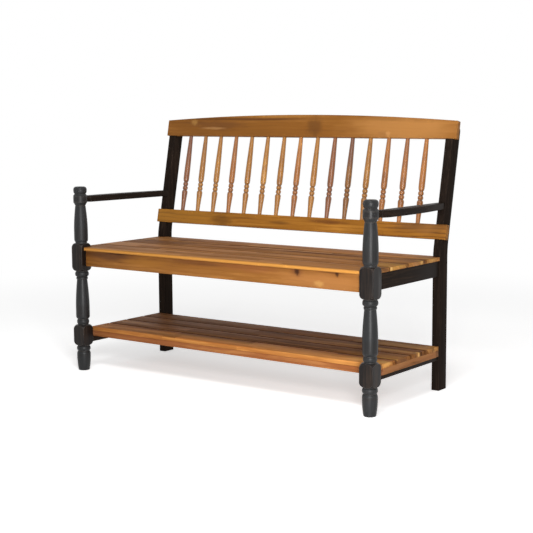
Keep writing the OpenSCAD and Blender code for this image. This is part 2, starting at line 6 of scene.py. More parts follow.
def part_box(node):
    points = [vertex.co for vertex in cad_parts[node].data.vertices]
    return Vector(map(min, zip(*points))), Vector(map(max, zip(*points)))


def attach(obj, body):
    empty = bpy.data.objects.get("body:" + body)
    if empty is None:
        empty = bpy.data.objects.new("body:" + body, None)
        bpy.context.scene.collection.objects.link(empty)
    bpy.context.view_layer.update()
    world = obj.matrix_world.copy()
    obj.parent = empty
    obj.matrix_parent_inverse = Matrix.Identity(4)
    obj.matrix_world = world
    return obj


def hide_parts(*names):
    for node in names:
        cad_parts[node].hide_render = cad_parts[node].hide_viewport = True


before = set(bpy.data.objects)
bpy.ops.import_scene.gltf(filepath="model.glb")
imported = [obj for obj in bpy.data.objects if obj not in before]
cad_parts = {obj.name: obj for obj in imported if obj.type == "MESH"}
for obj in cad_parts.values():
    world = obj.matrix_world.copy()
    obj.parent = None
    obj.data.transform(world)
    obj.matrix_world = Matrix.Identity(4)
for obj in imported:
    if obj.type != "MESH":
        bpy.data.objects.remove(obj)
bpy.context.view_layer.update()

# Camera
# It stands to the right of the bench, a little above its top rail, and looks slightly down.
# The lens is long, so the bench's long lines run nearly parallel.
camera_place = Vector((2.58557, -3.47563, 0.93946))
camera_azimuth = math.radians(36.400)
camera_elevation = math.radians(7.196)
camera_roll = math.radians(-0.337)
camera_lens = 84.58

camera_data = bpy.data.cameras.new("camera")
camera_data.sensor_width = 36
camera_data.lens = camera_lens
camera = bpy.data.objects.new("camera", camera_data)
bpy.context.scene.collection.objects.link(camera)
towards_camera = Vector((math.sin(camera_azimuth) * math.cos(camera_elevation),
                         -math.cos(camera_azimuth) * math.cos(camera_elevation),
                         math.sin(camera_elevation)))
level_right = Vector((math.cos(camera_azimuth), math.sin(camera_azimuth), 0))
level_up = towards_camera.cross(level_right)
camera_right = math.cos(camera_roll) * level_right + math.sin(camera_roll) * level_up
camera_up = math.cos(camera_roll) * level_up - math.sin(camera_roll) * level_right
camera.matrix_world = (Matrix.Translation(camera_place)
                       @ Matrix((camera_right, camera_up, towards_camera)).transposed().to_4x4())
bpy.context.scene.camera = camera

# Black paint
# All the black parts have one satin paint, brushed along the grain, which shows faintly through it.
# Its edges are rubbed thin to a grey-brown, made paler still as a painted highlight. A painted sheen makes
# the turned parts greyer, and they shine more.
mm = 0.001
paint_black = (0.0160, 0.0112, 0.0088, 1)
paint_thin = (0.042, 0.027, 0.019, 1)
# The rubbed edges' colour is partly wear and partly a painted highlight.
paint_wear_and_highlight = (0.084, 0.072, 0.064, 1)
# The turned parts' lighter, greyer paint is a painted sheen.
turned_sheen_black = (0.0180, 0.0185, 0.0190, 1)
turned_sheen_thin = (0.036, 0.036, 0.038, 1)


def set_sockets(tree, made, sockets):
    """Sets a node's sockets, each to a number, a colour or another node's output."""
    for name, value in sockets.items():
        if isinstance(value, bpy.types.NodeSocket):
            tree.links.new(value, made.inputs[name])
        else:
            made.inputs[name].default_value = value


def node(tree, kind, sockets=None, **settings):
    """Adds a shader node with its settings and sockets."""
    made = tree.nodes.new("ShaderNode" + kind)
    for name, value in settings.items():
        setattr(made, name, value)
    set_sockets(tree, made, sockets or {})
    return made


def math_node(tree, operation, a, b=0.0):
    return node(tree, "Math", {0: a, 1: b}, operation=operation).outputs[0]


def vector_node(tree, operation, a, b=(0, 0, 0)):
    return node(tree, "VectorMath", {0: a, 1: b}, operation=operation).outputs[0]


def colour_mix(tree, factor, a, b, blend="MIX"):
    """Mixes two colours. Sockets 0, 6 and 7 of a colour Mix node are its factor and its colours."""
    return node(tree, "Mix", {0: factor, 6: a, 7: b}, data_type="RGBA", blend_type=blend).outputs[2]


def smooth_step(tree, value, low, high, start=0.0, end=1.0):
    return node(tree, "MapRange", {0: value, 1: low, 2: high, 3: start, 4: end},
                interpolation_type="SMOOTHSTEP").outputs[0]


def stretched_noise(tree, place, stretch, detail, roughness=0.55, distortion=0.0):
    """Noise whose cells are long along the grain: stretch is how often it changes in a metre."""
    drawn = vector_node(tree, "MULTIPLY", place, stretch)
    return node(tree, "TexNoise", {"Vector": drawn, "Scale": 1.0, "Detail": detail,
                                   "Roughness": roughness, "Distortion": distortion}).outputs[0]


def group_of(name, inputs, outputs):
    """An empty node group with named sockets, its input node and its output node."""
    tree = bpy.data.node_groups.new(name, "ShaderNodeTree")
    for label, kind, value in inputs:
        socket = tree.interface.new_socket(label, in_out="INPUT", socket_type="NodeSocket" + kind)
        socket.default_value = value
    for label, kind in outputs:
        tree.interface.new_socket(label, in_out="OUTPUT", socket_type="NodeSocket" + kind)
    return tree, tree.nodes.new("NodeGroupInput").outputs, tree.nodes.new("NodeGroupOutput").inputs


def placed(tree, group, sockets):
    """Puts a node group in a tree, with its sockets set or linked."""
    made = tree.nodes.new("ShaderNodeGroup")
    made.node_tree = group
    set_sockets(tree, made, sockets)
    return made.outputs


def new_material(name):
    """A new material, its node tree and its shader."""
    made = bpy.data.materials.new(name)
    made.use_nodes = True
    return made, made.node_tree, made.node_tree.nodes["Principled BSDF"]


def link_surface(tree, shader, colour, roughness, height, strength, depth):
    """Gives a shader its colour, its roughness and its bump, which is depth millimetres high."""
    bump = node(tree, "Bump", {"Strength": strength, "Distance": depth * mm, "Height": height})
    tree.links.new(colour, shader.inputs["Base Color"])
    tree.links.new(roughness, shader.inputs["Roughness"])
    tree.links.new(bump.outputs[0], shader.inputs["Normal"])


pale_edge, given, out = group_of(
    "pale_edge",
    [("Vector", "Vector", (0, 0, 0)), ("Width", "Float", 2 * mm), ("Breaks", "Float", 0.5)],
    [("Mask", "Float")])
rounded = node(pale_edge, "Bevel", {"Radius": given["Width"]}, samples=4).outputs[0]
straight = node(pale_edge, "NewGeometry").outputs["Normal"]
turned_away = math_node(pale_edge, "SUBTRACT", 1.0, node(
    pale_edge, "VectorMath", {0: rounded, 1: straight}, operation="DOT_PRODUCT").outputs["Value"])
edge_line = smooth_step(pale_edge, turned_away, 0.01, 0.16)
rubs = stretched_noise(pale_edge, given["Vector"], (28, 28, 28), 4)
kept = smooth_step(pale_edge, rubs, math_node(pale_edge, "SUBTRACT", given["Breaks"], 0.2),
                   math_node(pale_edge, "ADD", given["Breaks"], 0.2))
pale_edge.links.new(math_node(pale_edge, "MULTIPLY", edge_line, kept), out["Mask"])

paint_film, given, out = group_of(
    "paint_film",
    [("Vector", "Vector", (0, 0, 0)), ("Stretch", "Vector", (1, 1, 1)), ("Paint", "Color", (0, 0, 0, 1)),
     ("Thin Paint", "Color", (0, 0, 0, 1)), ("Wear And Highlight", "Color", (0, 0, 0, 1)), ("Edges", "Float", 0.0)],
    [("Color", "Color"), ("Roughness", "Float"), ("Height", "Float")])
grain_lines = stretched_noise(paint_film, given["Vector"], given["Stretch"], 5, 0.65, 0.4)
clouds = stretched_noise(paint_film, given["Vector"], (9, 9, 9), 3)
orange_peel = stretched_noise(paint_film, given["Vector"], (420, 420, 420), 2)
thinness = math_node(paint_film, "MULTIPLY", smooth_step(paint_film, grain_lines, 0.42, 0.72),
                     smooth_step(paint_film, clouds, 0.3, 0.75, 0.25, 1.0))
coat = colour_mix(paint_film, thinness, given["Paint"], given["Thin Paint"])
coat = colour_mix(paint_film, given["Edges"], coat, given["Wear And Highlight"])
paint_film.links.new(coat, out["Color"])
rough = smooth_step(paint_film, clouds, 0.25, 0.75, 0.34, 0.42)
rough = math_node(paint_film, "ADD", rough, math_node(paint_film, "MULTIPLY", thinness, 0.1))
paint_film.links.new(rough, out["Roughness"])
relief = math_node(paint_film, "ADD", math_node(paint_film, "MULTIPLY", grain_lines, 0.8),
                   math_node(paint_film, "MULTIPLY", orange_peel, 0.2))
paint_film.links.new(relief, out["Height"])

turned_part, given, out = group_of(
    "turned_part",
    [("Vector", "Vector", (0, 0, 0)), ("Middle", "Vector", (0, 0, 0)), ("Radius", "Float", 25 * mm)],
    [("Mask", "Float")])
both_sides = vector_node(turned_part, "ABSOLUTE", given["Vector"])
from_above = vector_node(turned_part, "MULTIPLY", vector_node(
    turned_part, "SUBTRACT", both_sides, given["Middle"]), (1, 1, 0))
from_axis = node(turned_part, "VectorMath", {0: from_above}, operation="LENGTH").outputs["Value"]
past = math_node(turned_part, "SUBTRACT", given["Radius"], from_axis)
turned_part.links.new(smooth_step(turned_part, past, 0.0, 0.5 * mm), out["Mask"])


def painted(name, stretch, gloss, paint=paint_black, round_middle=None, round_r=0, edges=0.55):
    """Satin black paint on wood whose grain runs the way that stretch is lowest. Round_middle is where the
    turned parts have their axis, in size without sign, and round_r is the radius that they stay within."""
    made, tree, shader = new_material(name)
    place = node(tree, "TexCoord").outputs["Object"]
    edge = placed(tree, pale_edge, {"Vector": place, "Width": 2.2 * mm, "Breaks": 1 - edges})["Mask"]
    thin_paint = paint_thin
    if round_middle:
        round_mask = placed(tree, turned_part, {
            "Vector": place, "Middle": round_middle, "Radius": round_r * mm})["Mask"]
        # The round parts get the lighter, greyer paint, a painted sheen.
        paint = colour_mix(tree, round_mask, paint, turned_sheen_black)
        thin_paint = colour_mix(tree, round_mask, thin_paint, turned_sheen_thin)
    film = placed(tree, paint_film, {
        "Vector": place, "Stretch": stretch, "Paint": paint, "Thin Paint": thin_paint,
        "Wear And Highlight": paint_wear_and_highlight, "Edges": edge})
    link_surface(tree, shader, film["Color"], film["Roughness"], film["Height"], 0.35, 0.35)
    shader.inputs["Specular IOR Level"].default_value = gloss
    return made


upright_paint = painted("paint_upright", (130, 130, 5), 0.006)
level_paint = painted("paint_level", (130, 5, 130), 0.022)

# Front posts
# Each is turned from 50 mm stock, with two blocks left square to take the aprons and the bearer.
# The barrel near the top has the arm's neck in it, and two fine lines are cut into the barrel.
post_w = 50
post_h = 666
post_edge = 1.8
corner_r = 34.8
belly_r = 24.7
cove_r = 20.7
low_cove_r = 19
block_neck_r = 21.2
low_waist_r = 18.5
high_waist_r = 18.6
arm_waist_r = 17.6
cap_neck_r = 19.7
cap_r = 24
block_shoulder_h = 18
# The posts' square blocks are painted darker than the other black parts, as painted shade.
post_block_shade_black = (0.0060, 0.0042, 0.0038, 1)
turned_steps = 72
curve_steps = 10


def bead(z, h, neck, full):
    """Half an ellipse from one neck to the next, as points of radius and height."""
    return [(neck + (full - neck) * math.sin(math.pi * i / (2 * curve_steps)),
             z + h * (1 - math.cos(math.pi * i / (2 * curve_steps))) / 2) for i in range(2 * curve_steps + 1)]


def shoulder_up(z, h, neck, full):
    """A round shoulder that opens upwards."""
    return [(neck + (full - neck) * math.sin(math.pi * i / (2 * curve_steps)),
             z + h * (1 - math.cos(math.pi * i / (2 * curve_steps)))) for i in range(curve_steps + 1)]


def shoulder_down(z, h, full, neck):
    """The same shoulder upside down."""
    return [(neck + (full - neck) * math.cos(math.pi * i / (2 * curve_steps)),
             z + h * math.sin(math.pi * i / (2 * curve_steps))) for i in range(curve_steps + 1)]


def taper(z, h, start, end, power):
    """A taper that leaves its start softly."""
    return [(start + (end - start) * (i / curve_steps) ** power, z + h * i / curve_steps)
            for i in range(curve_steps + 1)]


def taper_in(z, h, start, end, power):
    """A taper that arrives softly at its end."""
    return [(end + (start - end) * (1 - i / curve_steps) ** power, z + h * i / curve_steps)
            for i in range(curve_steps + 1)]


def cut_line(z, r):
    """A fine line, 0.5 mm deep, cut into a turned surface."""
    return [(r, z - 0.9), (r - 0.5, z - 0.2), (r - 0.5, z + 0.2), (r, z + 0.9)]


def draw(name, points):
    """One vertex is pulled from point to point, and leaves a line of edges."""
    bpy.ops.object.select_all(action="DESELECT")
    bpy.ops.mesh.primitive_plane_add(size=mm)
    drawn = bpy.context.object
    drawn.name = name
    drawn.data.name = name
    bpy.ops.object.mode_set(mode="EDIT")
    bpy.ops.mesh.merge(type="CENTER")
    bpy.ops.transform.translate(value=points[0])
    for last, point in zip(points, points[1:]):
        bpy.ops.mesh.extrude_region_move(TRANSFORM_OT_translate={"value": Vector(point) - Vector(last)})
    bpy.ops.mesh.select_all(action="SELECT")
    return drawn


def turn(name, outline, steps):
    """A turned piece round the z axis, from points of radius and height in millimetres."""
    made = draw(name, [(r * mm, 0, z * mm) for r, z in outline])
    bpy.ops.mesh.spin(steps=steps, angle=2 * math.pi, center=(0, 0, 0), axis=(0, 0, 1))
    bpy.ops.mesh.select_all(action="SELECT")
    bpy.ops.mesh.remove_doubles(threshold=0.01 * mm)
    bpy.ops.mesh.normals_make_consistent(inside=False)
    bpy.ops.object.mode_set(mode="OBJECT")
    return made


def pick(piece):
    """Selects one piece alone and makes it the active one."""
    bpy.ops.object.select_all(action="DESELECT")
    piece.select_set(True)
    bpy.context.view_layer.objects.active = piece


def apply_modifier(piece, kind, **settings):
    pick(piece)
    made = piece.modifiers.new(kind.lower(), kind)
    for name, value in settings.items():
        setattr(made, name, value)
    bpy.ops.object.modifier_apply(modifier=made.name)


def cut_block(size, place=(0, 0, 0)):
    """A block to cut with, its size and place in millimetres."""
    bpy.ops.object.select_all(action="DESELECT")
    bpy.ops.mesh.primitive_cube_add(size=1, location=[p * mm for p in place], scale=[s * mm for s in size])
    bpy.ops.object.transform_apply(location=True, rotation=True, scale=True)
    return bpy.context.object


def combine(piece, tool, operation):
    """Cuts a piece with a tool, or joins the tool to it, and throws the tool away."""
    apply_modifier(piece, "BOOLEAN", object=tool, operation=operation, solver="EXACT")
    bpy.data.objects.remove(tool)


def smooth(piece, angle=32):
    pick(piece)
    bpy.ops.object.shade_smooth_by_angle(angle=math.radians(angle))


def copy_of(piece, name, move=(0, 0, 0)):
    """A copy with a mesh of its own, moved in its mesh."""
    made = piece.copy()
    made.data = piece.data.copy()
    made.name = name
    made.data.name = name
    bpy.context.scene.collection.objects.link(made)
    made.data.transform(Matrix.Translation(move))
    return made


def fit(piece, material, slot, *nodes):
    """Gives a finished piece its material, and puts it in the place of its CAD nodes."""
    piece.data.materials.clear()
    piece.data.materials.append(material)
    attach(piece, "root")
    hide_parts(*nodes)


foot = [(0, 0), (18, 0)] + taper_in(2, 57.5, 20, belly_r, 2.2) + shoulder_down(59.5, 10, belly_r, cove_r)
low_block = (shoulder_up(91.5, block_shoulder_h, block_neck_r, corner_r)
             + shoulder_down(149, block_shoulder_h, corner_r, low_cove_r))
low_vase = shoulder_up(189, 9, low_cove_r, belly_r) + taper(233, 99, belly_r, low_waist_r, 1.7)
high_block = (shoulder_up(363, block_shoulder_h, block_neck_r, corner_r)
              + shoulder_down(445, block_shoulder_h, corner_r, block_neck_r) + [(cove_r, 465.5)])
high_vase = (shoulder_up(468, 11.5, cove_r, belly_r) + taper(510, 86.4, belly_r, high_waist_r, 1.7)
             + [(arm_waist_r, 597.2), (arm_waist_r, 598.6)])
barrel = (taper(599.4, 10.6, 19, belly_r, 1.25) + cut_line(612.5, belly_r) + cut_line(630.5, belly_r)
          + taper_in(634, 7, belly_r, cap_neck_r, 1.25))
cap = shoulder_up(641, 14, cap_neck_r, cap_r) + shoulder_down(655, 11, cap_r, 14.5) + [(0, post_h)]
post_outline = (foot + bead(72, 17, cove_r, belly_r) + low_block + bead(169.5, 17, low_cove_r, 22) + low_vase
                + bead(332, 9, low_waist_r, 20.8) + bead(343.5, 17, cove_r, belly_r) + high_block + high_vase
                + barrel + cap)
turned_post = turn("turned_post_right", post_outline, turned_steps)
stock = cut_block((post_w, post_w, 1.1 * post_h), (0, 0, post_h / 2))
apply_modifier(stock, "BEVEL", width=post_edge * mm, segments=3, limit_method="ANGLE")
combine(turned_post, stock, "INTERSECT")
post_low, post_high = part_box("front_post_right")
post_place = (post_low + post_high) / 2
turned_post.data.transform(Matrix.Translation((post_place.x, post_place.y, 0)))
smooth(turned_post)
# Round parts get a painted sheen, square blocks painted shade, and the strong pale edges a painted highlight.
post_paint = painted("paint_post", (130, 130, 5), 0.20, post_block_shade_black,
                     (post_place.x, -post_place.y, 0), post_w / 2, edges=0.8)
turned_post_left = copy_of(turned_post, "turned_post_left", (-2 * post_place.x, 0, 0))
fit(turned_post, post_paint, "painted_wood", "front_post_right")
fit(turned_post_left, post_paint, "painted_wood", "front_post_left")

# Back legs
# Each is sawn from a board 28 mm thick, upright to the seat and leaning above it, and rounded at its top.
# The back rails lie in cuts across its front, and screws go in through its back, with their heads sunk.
lean = math.radians(11.65)
leg_low, leg_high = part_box("back_leg_right")
seat_into_legs = 19
leg_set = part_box("seat_slat_4")[1].y / mm - seat_into_legs
leg_d = 51
leg_top_d = 47
lean_z = 460
leg_top_l = 430
bend_r = 280
leg_round = 14
rail_t = 20
rail_cuts = [(48.5, 98.5), (385, leg_top_l)]
sawn_edge = 1.6
screw_places = [61, 86, 397, 412]
arm_screw_v = 160.3
head_hole_r = 4.7
head_hole_depth = 3.5


def lean_point(x, w, v):
    """A point of the leaning back, in metres: w runs into the depth of the legs, v up their front."""
    return Vector((x * mm, (leg_set + v * math.sin(lean) + w * math.cos(lean)) * mm,
                   (lean_z + v * math.cos(lean) - w * math.sin(lean)) * mm))


def pulled(name, outline, depth):
    """A flat board with sharp edges: its outline is drawn, filled and pulled to its thickness."""
    made = draw(name, outline)
    bpy.ops.mesh.edge_face_add()
    bpy.ops.mesh.extrude_region_move(TRANSFORM_OT_translate={"value": depth})
    bpy.ops.mesh.select_all(action="SELECT")
    bpy.ops.mesh.normals_make_consistent(inside=False)
    bpy.ops.object.mode_set(mode="OBJECT")
    return made


def ease(piece, edge, segments=3):
    """Rounds the edges of a piece, as sandpaper does."""
    apply_modifier(piece, "BEVEL", width=edge * mm, segments=segments, limit_method="ANGLE",
                   angle_limit=math.radians(40))


def sawn(name, outline, depth, edge=sawn_edge, segments=3):
    """A flat board with eased edges."""
    made = pulled(name, outline, depth)
    ease(made, edge, segments)
    smooth(made)
    return made


def drilled(piece, heads):
    """Sinks round holes for screw heads: heads are pairs of the hole's mouth and its direction inwards."""
    for mouth, inwards in heads:
        bpy.ops.object.select_all(action="DESELECT")
        bpy.ops.mesh.primitive_cylinder_add(vertices=32, radius=head_hole_r * mm,
                                            depth=2 * head_hole_depth * mm)
        drill = bpy.context.object
        drill.data.transform(Matrix.Translation(mouth) @ inwards.to_track_quat("Z", "Y").to_matrix().to_4x4())
        combine(piece, drill, "DIFFERENCE")
    smooth(piece)


leg_inner_x = leg_low.x / mm
leg_outer_x = leg_high.x / mm
leg_middle_x = (leg_inner_x + leg_outer_x) / 2
back_bend_v = (leg_d - leg_top_d * math.cos(lean)) / math.sin(lean)
back_bend_z = lean_point(0, leg_top_d, back_bend_v).z / mm


def leg_bend(y, z):
    """The soft bend of one face of a leg, where its line turns into the lean."""
    return [Vector((leg_inner_x * mm, (y + bend_r * (1 - math.cos(lean * i / curve_steps))) * mm,
                    (z - bend_r * math.tan(lean / 2) + bend_r * math.sin(lean * i / curve_steps)) * mm))
            for i in range(curve_steps + 1)]


leg_outline = [Vector((leg_inner_x * mm, leg_set * mm, 0))] + leg_bend(leg_set, lean_z)
for low_v, high_v in rail_cuts:
    leg_outline += [lean_point(leg_inner_x, 0, low_v), lean_point(leg_inner_x, rail_t, low_v),
                    lean_point(leg_inner_x, rail_t, high_v)]
    if high_v < leg_top_l:
        leg_outline.append(lean_point(leg_inner_x, 0, high_v))
leg_outline += [
    lean_point(leg_inner_x, leg_top_d - leg_round + leg_round * math.sin(math.pi * i / (2 * curve_steps)),
               leg_top_l - leg_round + leg_round * math.cos(math.pi * i / (2 * curve_steps)))
    for i in range(curve_steps + 1)]
leg_outline += leg_bend(leg_set + leg_d, back_bend_z)[::-1]
leg_outline.append(Vector((leg_inner_x * mm, (leg_set + leg_d) * mm, 0)))
sawn_leg = sawn("sawn_leg_right", leg_outline, (leg_high.x - leg_low.x, 0, 0))
into_leg = lean_point(0, -1, 0) - lean_point(0, 0, 0)
drilled(sawn_leg, [(lean_point(leg_middle_x, leg_top_d, v), into_leg)
                   for v in screw_places + [arm_screw_v]])
sawn_leg_left = copy_of(sawn_leg, "sawn_leg_left", (-2 * leg_middle_x * mm, 0, 0))
fit(sawn_leg, upright_paint, "painted_wood", "back_leg_right")
fit(sawn_leg_left, upright_paint, "painted_wood", "back_leg_left")

# Arms
# Each is a flat bar with a straight inner edge and a bowed outer edge, eased all round.
# A round neck at its front goes into the barrel of the post, and its back end is screwed to the leg.
arm_z = 620
arm_drop = 3
arm_t = 22
arm_start = 38
arm_corner = 9
arm_outer_x = 636
arm_inner_x = 599
arm_bow = 16.5
arm_end_inset = 8
arm_end_x = leg_outer_x - arm_end_inset
arm_spare_l = 55
arm_edge_r = 3.2
neck_r = 9.3
neck_flare_r = 10.7
neck_start = 8
neck_straight_l = 27
neck_flare_l = 9
neck_l = 37
neck_steps = 32
bow_steps = 20
post_y = post_place.y / mm
arm_run = leg_set - post_y + arm_spare_l
arm_tilt = math.atan(arm_drop / (leg_set - post_y))


def arm_point(x, along):
    """A point of an arm's underside, which drops slowly towards the back."""
    return Vector((x * mm, (post_y + along) * mm, (arm_z - arm_t / 2 - along * math.tan(arm_tilt)) * mm))


def mirrored(piece, name):
    """A copy of a piece for the other side of the bench."""
    made = copy_of(piece, name)
    made.data.transform(Matrix.Scale(-1, 4, (1, 0, 0)))
    made.data.flip_normals()
    return made


arm_outline = [arm_point(arm_inner_x, arm_start + arm_corner), arm_point(arm_inner_x + arm_corner, arm_start),
               arm_point(arm_outer_x - arm_corner, arm_start)]
for i in range(1, bow_steps + 1):
    t = i / bow_steps
    arm_outline.append(arm_point(arm_outer_x + (arm_end_x - arm_outer_x) * t + 4 * arm_bow * t * (1 - t),
                                 arm_start + (arm_run - arm_start) * t))
arm_outline.append(arm_point(leg_inner_x, arm_run))
shaped_arm = pulled("shaped_arm_right", arm_outline, (0, 0, arm_t * mm))
ease(shaped_arm, arm_edge_r, 4)
bpy.ops.object.mode_set(mode="EDIT")
bpy.ops.mesh.select_all(action="SELECT")
bpy.ops.mesh.bisect(plane_co=lean_point(0, 0, 0), plane_no=(-into_leg).normalized(), use_fill=True,
                    clear_outer=True)
bpy.ops.object.mode_set(mode="OBJECT")
neck_outline = ([(0, 0), (neck_r, 0), (neck_r, neck_straight_l)]
                + taper_in(neck_straight_l, neck_flare_l, neck_r, neck_flare_r, 0.6) + [(0, neck_l)])
arm_neck = turn("arm_neck", neck_outline, neck_steps)
arm_neck.data.transform(Matrix.Translation((post_place.x, post_place.y + neck_start * mm, arm_z * mm))
                        @ Matrix.Rotation(-math.pi / 2 - arm_tilt, 4, "X"))
combine(shaped_arm, arm_neck, "UNION")
smooth(shaped_arm)
shaped_arm_left = mirrored(shaped_arm, "shaped_arm_left")
fit(shaped_arm, level_paint, "painted_wood", "arm_right")
fit(shaped_arm_left, level_paint, "painted_wood", "arm_left")

# Side aprons
# A black rail runs from each post to the leg behind it, under the ends of the seat.
# Its stub tenons are hidden in the post and the leg.
seat_low_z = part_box("side_apron_right")[1].z / mm
post_back_y = post_y + post_w / 2
side_rail_inner_x = 590
side_rail_outer_x = 612
side_rail_h = 52.5


def level_box(name, low, high, edge=sawn_edge):
    """A board between two corners, given in millimetres."""
    corners = [(low[0], low[1]), (high[0], low[1]), (high[0], high[1]), (low[0], high[1])]
    return sawn(name, [(x * mm, y * mm, low[2] * mm) for x, y in corners],
                (0, 0, (high[2] - low[2]) * mm), edge)


side_rail = level_box("side_rail_right", (side_rail_inner_x, post_back_y, seat_low_z - side_rail_h),
                      (side_rail_outer_x, leg_set, seat_low_z))
side_rail_left = copy_of(side_rail, "side_rail_left", (-(side_rail_inner_x + side_rail_outer_x) * mm, 0, 0))
fit(side_rail, level_paint, "painted_wood", "side_apron_right")
fit(side_rail_left, level_paint, "painted_wood", "side_apron_left")

# Shelf bearers
# A flat black rail under each end of the shelf, tenoned into the post and the leg.
# Two screws go up through each of them into the shelf, with their heads sunk.
bearer_low_z = 103
shelf_rail_z = 117
post_inner_x = 584
bearer_outer_x = 612
bearer_screw_x = 603.2
bearer_screw_inset = 60
shelf_front_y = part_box("shelf_slat_1")[0].y / mm
shelf_back_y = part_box("shelf_slat_4")[1].y / mm
bearer_screw_y = [shelf_front_y + bearer_screw_inset, shelf_back_y - bearer_screw_inset]
flat_bearer = level_box("flat_bearer_right", (post_inner_x, post_back_y, bearer_low_z),
                        (bearer_outer_x, leg_set, shelf_rail_z))
drilled(flat_bearer, [(Vector((bearer_screw_x, y, bearer_low_z)) * mm, Vector((0, 0, 1)))
                      for y in bearer_screw_y])
flat_bearer_left = mirrored(flat_bearer, "flat_bearer_left")
fit(flat_bearer, level_paint, "painted_wood", "bearer_right")
fit(flat_bearer_left, level_paint, "painted_wood", "bearer_left")

# Wood of the seat, back and shelf
# These are oiled hardwood, from gold to red-brown, with dark streaks and a few knots.
# The slats are glued up from strips of different tones, and all rubbed edges are paler.


def centred(tree, value, amount):
    """Turns noise round a half into an amount round zero."""
    return math_node(tree, "MULTIPLY", math_node(tree, "SUBTRACT", value, 0.5), amount)


sawn_grain, given, out = group_of(
    "sawn_grain",
    [("Vector", "Vector", (0, 0, 0)), ("Light", "Color", (1, 1, 1, 1)), ("Middle", "Color", (1, 1, 1, 1)),
     ("Dark", "Color", (0, 0, 0, 1)), ("Streaks", "Float", 0.6), ("Rings", "Float", 0.3),
     ("Strips", "Float", 0.0), ("Strip Width", "Float", 0.03), ("Strip Length", "Float", 0.4),
     ("Rough", "Float", 0.4)],
    [("Color", "Color"), ("Roughness", "Float"), ("Height", "Float")])
parts = node(sawn_grain, "SeparateXYZ", {0: given["Vector"]}).outputs
row = math_node(sawn_grain, "FLOOR", math_node(
    sawn_grain, "DIVIDE", math_node(sawn_grain, "ADD", parts[1], parts[2]), given["Strip Width"]))
row_shift = node(sawn_grain, "TexWhiteNoise", {"W": row}, noise_dimensions="1D").outputs["Value"]
cell = math_node(sawn_grain, "FLOOR", math_node(
    sawn_grain, "ADD", math_node(sawn_grain, "DIVIDE", parts[0], given["Strip Length"]),
    math_node(sawn_grain, "MULTIPLY", row_shift, 17.3)))
strip_place = node(sawn_grain, "CombineXYZ", {0: row, 1: cell}).outputs[0]
strip = node(sawn_grain, "TexWhiteNoise", {"Vector": strip_place}, noise_dimensions="2D").outputs
strip_tone = centred(sawn_grain, strip["Value"], given["Strips"])
own_shift = vector_node(sawn_grain, "MULTIPLY", strip["Color"], node(
    sawn_grain, "CombineXYZ", {0: given["Strips"], 1: given["Strips"], 2: given["Strips"]}).outputs[0])
bend_noise = node(sawn_grain, "TexNoise", {
    "Vector": given["Vector"], "Scale": 2.6, "Detail": 2.0}).outputs["Color"]
meander = vector_node(sawn_grain, "MULTIPLY", vector_node(
    sawn_grain, "SUBTRACT", bend_noise, (0.5, 0.5, 0.5)), (0.0, 0.03, 0.03))
grown = vector_node(sawn_grain, "ADD", vector_node(sawn_grain, "ADD", given["Vector"], meander), own_shift)
streaks = stretched_noise(sawn_grain, grown, (2.6, 46, 46), 5, 0.6, 0.5)
smudges = stretched_noise(sawn_grain, grown, (2.2, 11, 11), 3, 0.5, 0.8)
fibres = stretched_noise(sawn_grain, grown, (22, 700, 700), 2)
pores = smooth_step(sawn_grain, stretched_noise(sawn_grain, grown, (14, 330, 330), 2), 0.6, 0.72)
ring_place = vector_node(sawn_grain, "ADD", vector_node(
    sawn_grain, "MULTIPLY", grown, (0.16, 1.0, 1.0)), (0.0, 0.031, -0.067))
rings = node(sawn_grain, "TexWave", {"Vector": ring_place, "Scale": 24.0, "Distortion": 2.2, "Detail": 3.0,
                                     "Detail Scale": 1.6, "Detail Roughness": 0.6},
             wave_type="RINGS", rings_direction="X").outputs["Fac"]
late_wood = smooth_step(sawn_grain, rings, 0.55, 0.95)
tone = math_node(sawn_grain, "ADD", centred(sawn_grain, streaks, 1.7), centred(sawn_grain, smudges, 1.5))
tone = math_node(sawn_grain, "MULTIPLY", tone, given["Streaks"])
tone = math_node(sawn_grain, "ADD", math_node(sawn_grain, "ADD", tone, 0.55), strip_tone)
tone = math_node(sawn_grain, "SUBTRACT", tone, math_node(sawn_grain, "MULTIPLY", late_wood, given["Rings"]))
tone = math_node(sawn_grain, "SUBTRACT", tone, math_node(sawn_grain, "MULTIPLY", pores, 0.14))
tone = math_node(sawn_grain, "ADD", tone, centred(sawn_grain, fibres, 0.22))
hue = colour_mix(sawn_grain, smooth_step(sawn_grain, tone, 0.0, 0.5), given["Dark"], given["Middle"])
hue = colour_mix(sawn_grain, smooth_step(sawn_grain, tone, 0.5, 1.0), hue, given["Light"])
redness = math_node(sawn_grain, "MULTIPLY", node(
    sawn_grain, "SeparateXYZ", {0: strip["Color"]}).outputs[1], given["Strips"])
hue = colour_mix(sawn_grain, redness, hue, (1.0, 0.84, 0.72, 1), "MULTIPLY")
sawn_grain.links.new(hue, out["Color"])
rough = math_node(sawn_grain, "ADD", given["Rough"], smooth_step(sawn_grain, tone, 0.1, 0.9, 0.06, -0.06))
sawn_grain.links.new(math_node(sawn_grain, "ADD", rough, math_node(sawn_grain, "MULTIPLY", pores, 0.12)),
                     out["Roughness"])
height = math_node(sawn_grain, "SUBTRACT", math_node(sawn_grain, "MULTIPLY", fibres, 0.35),
                   math_node(sawn_grain, "MULTIPLY", pores, 0.5))
sawn_grain.links.new(math_node(sawn_grain, "ADD", height, math_node(
    sawn_grain, "MULTIPLY", late_wood, -0.25)), out["Height"])

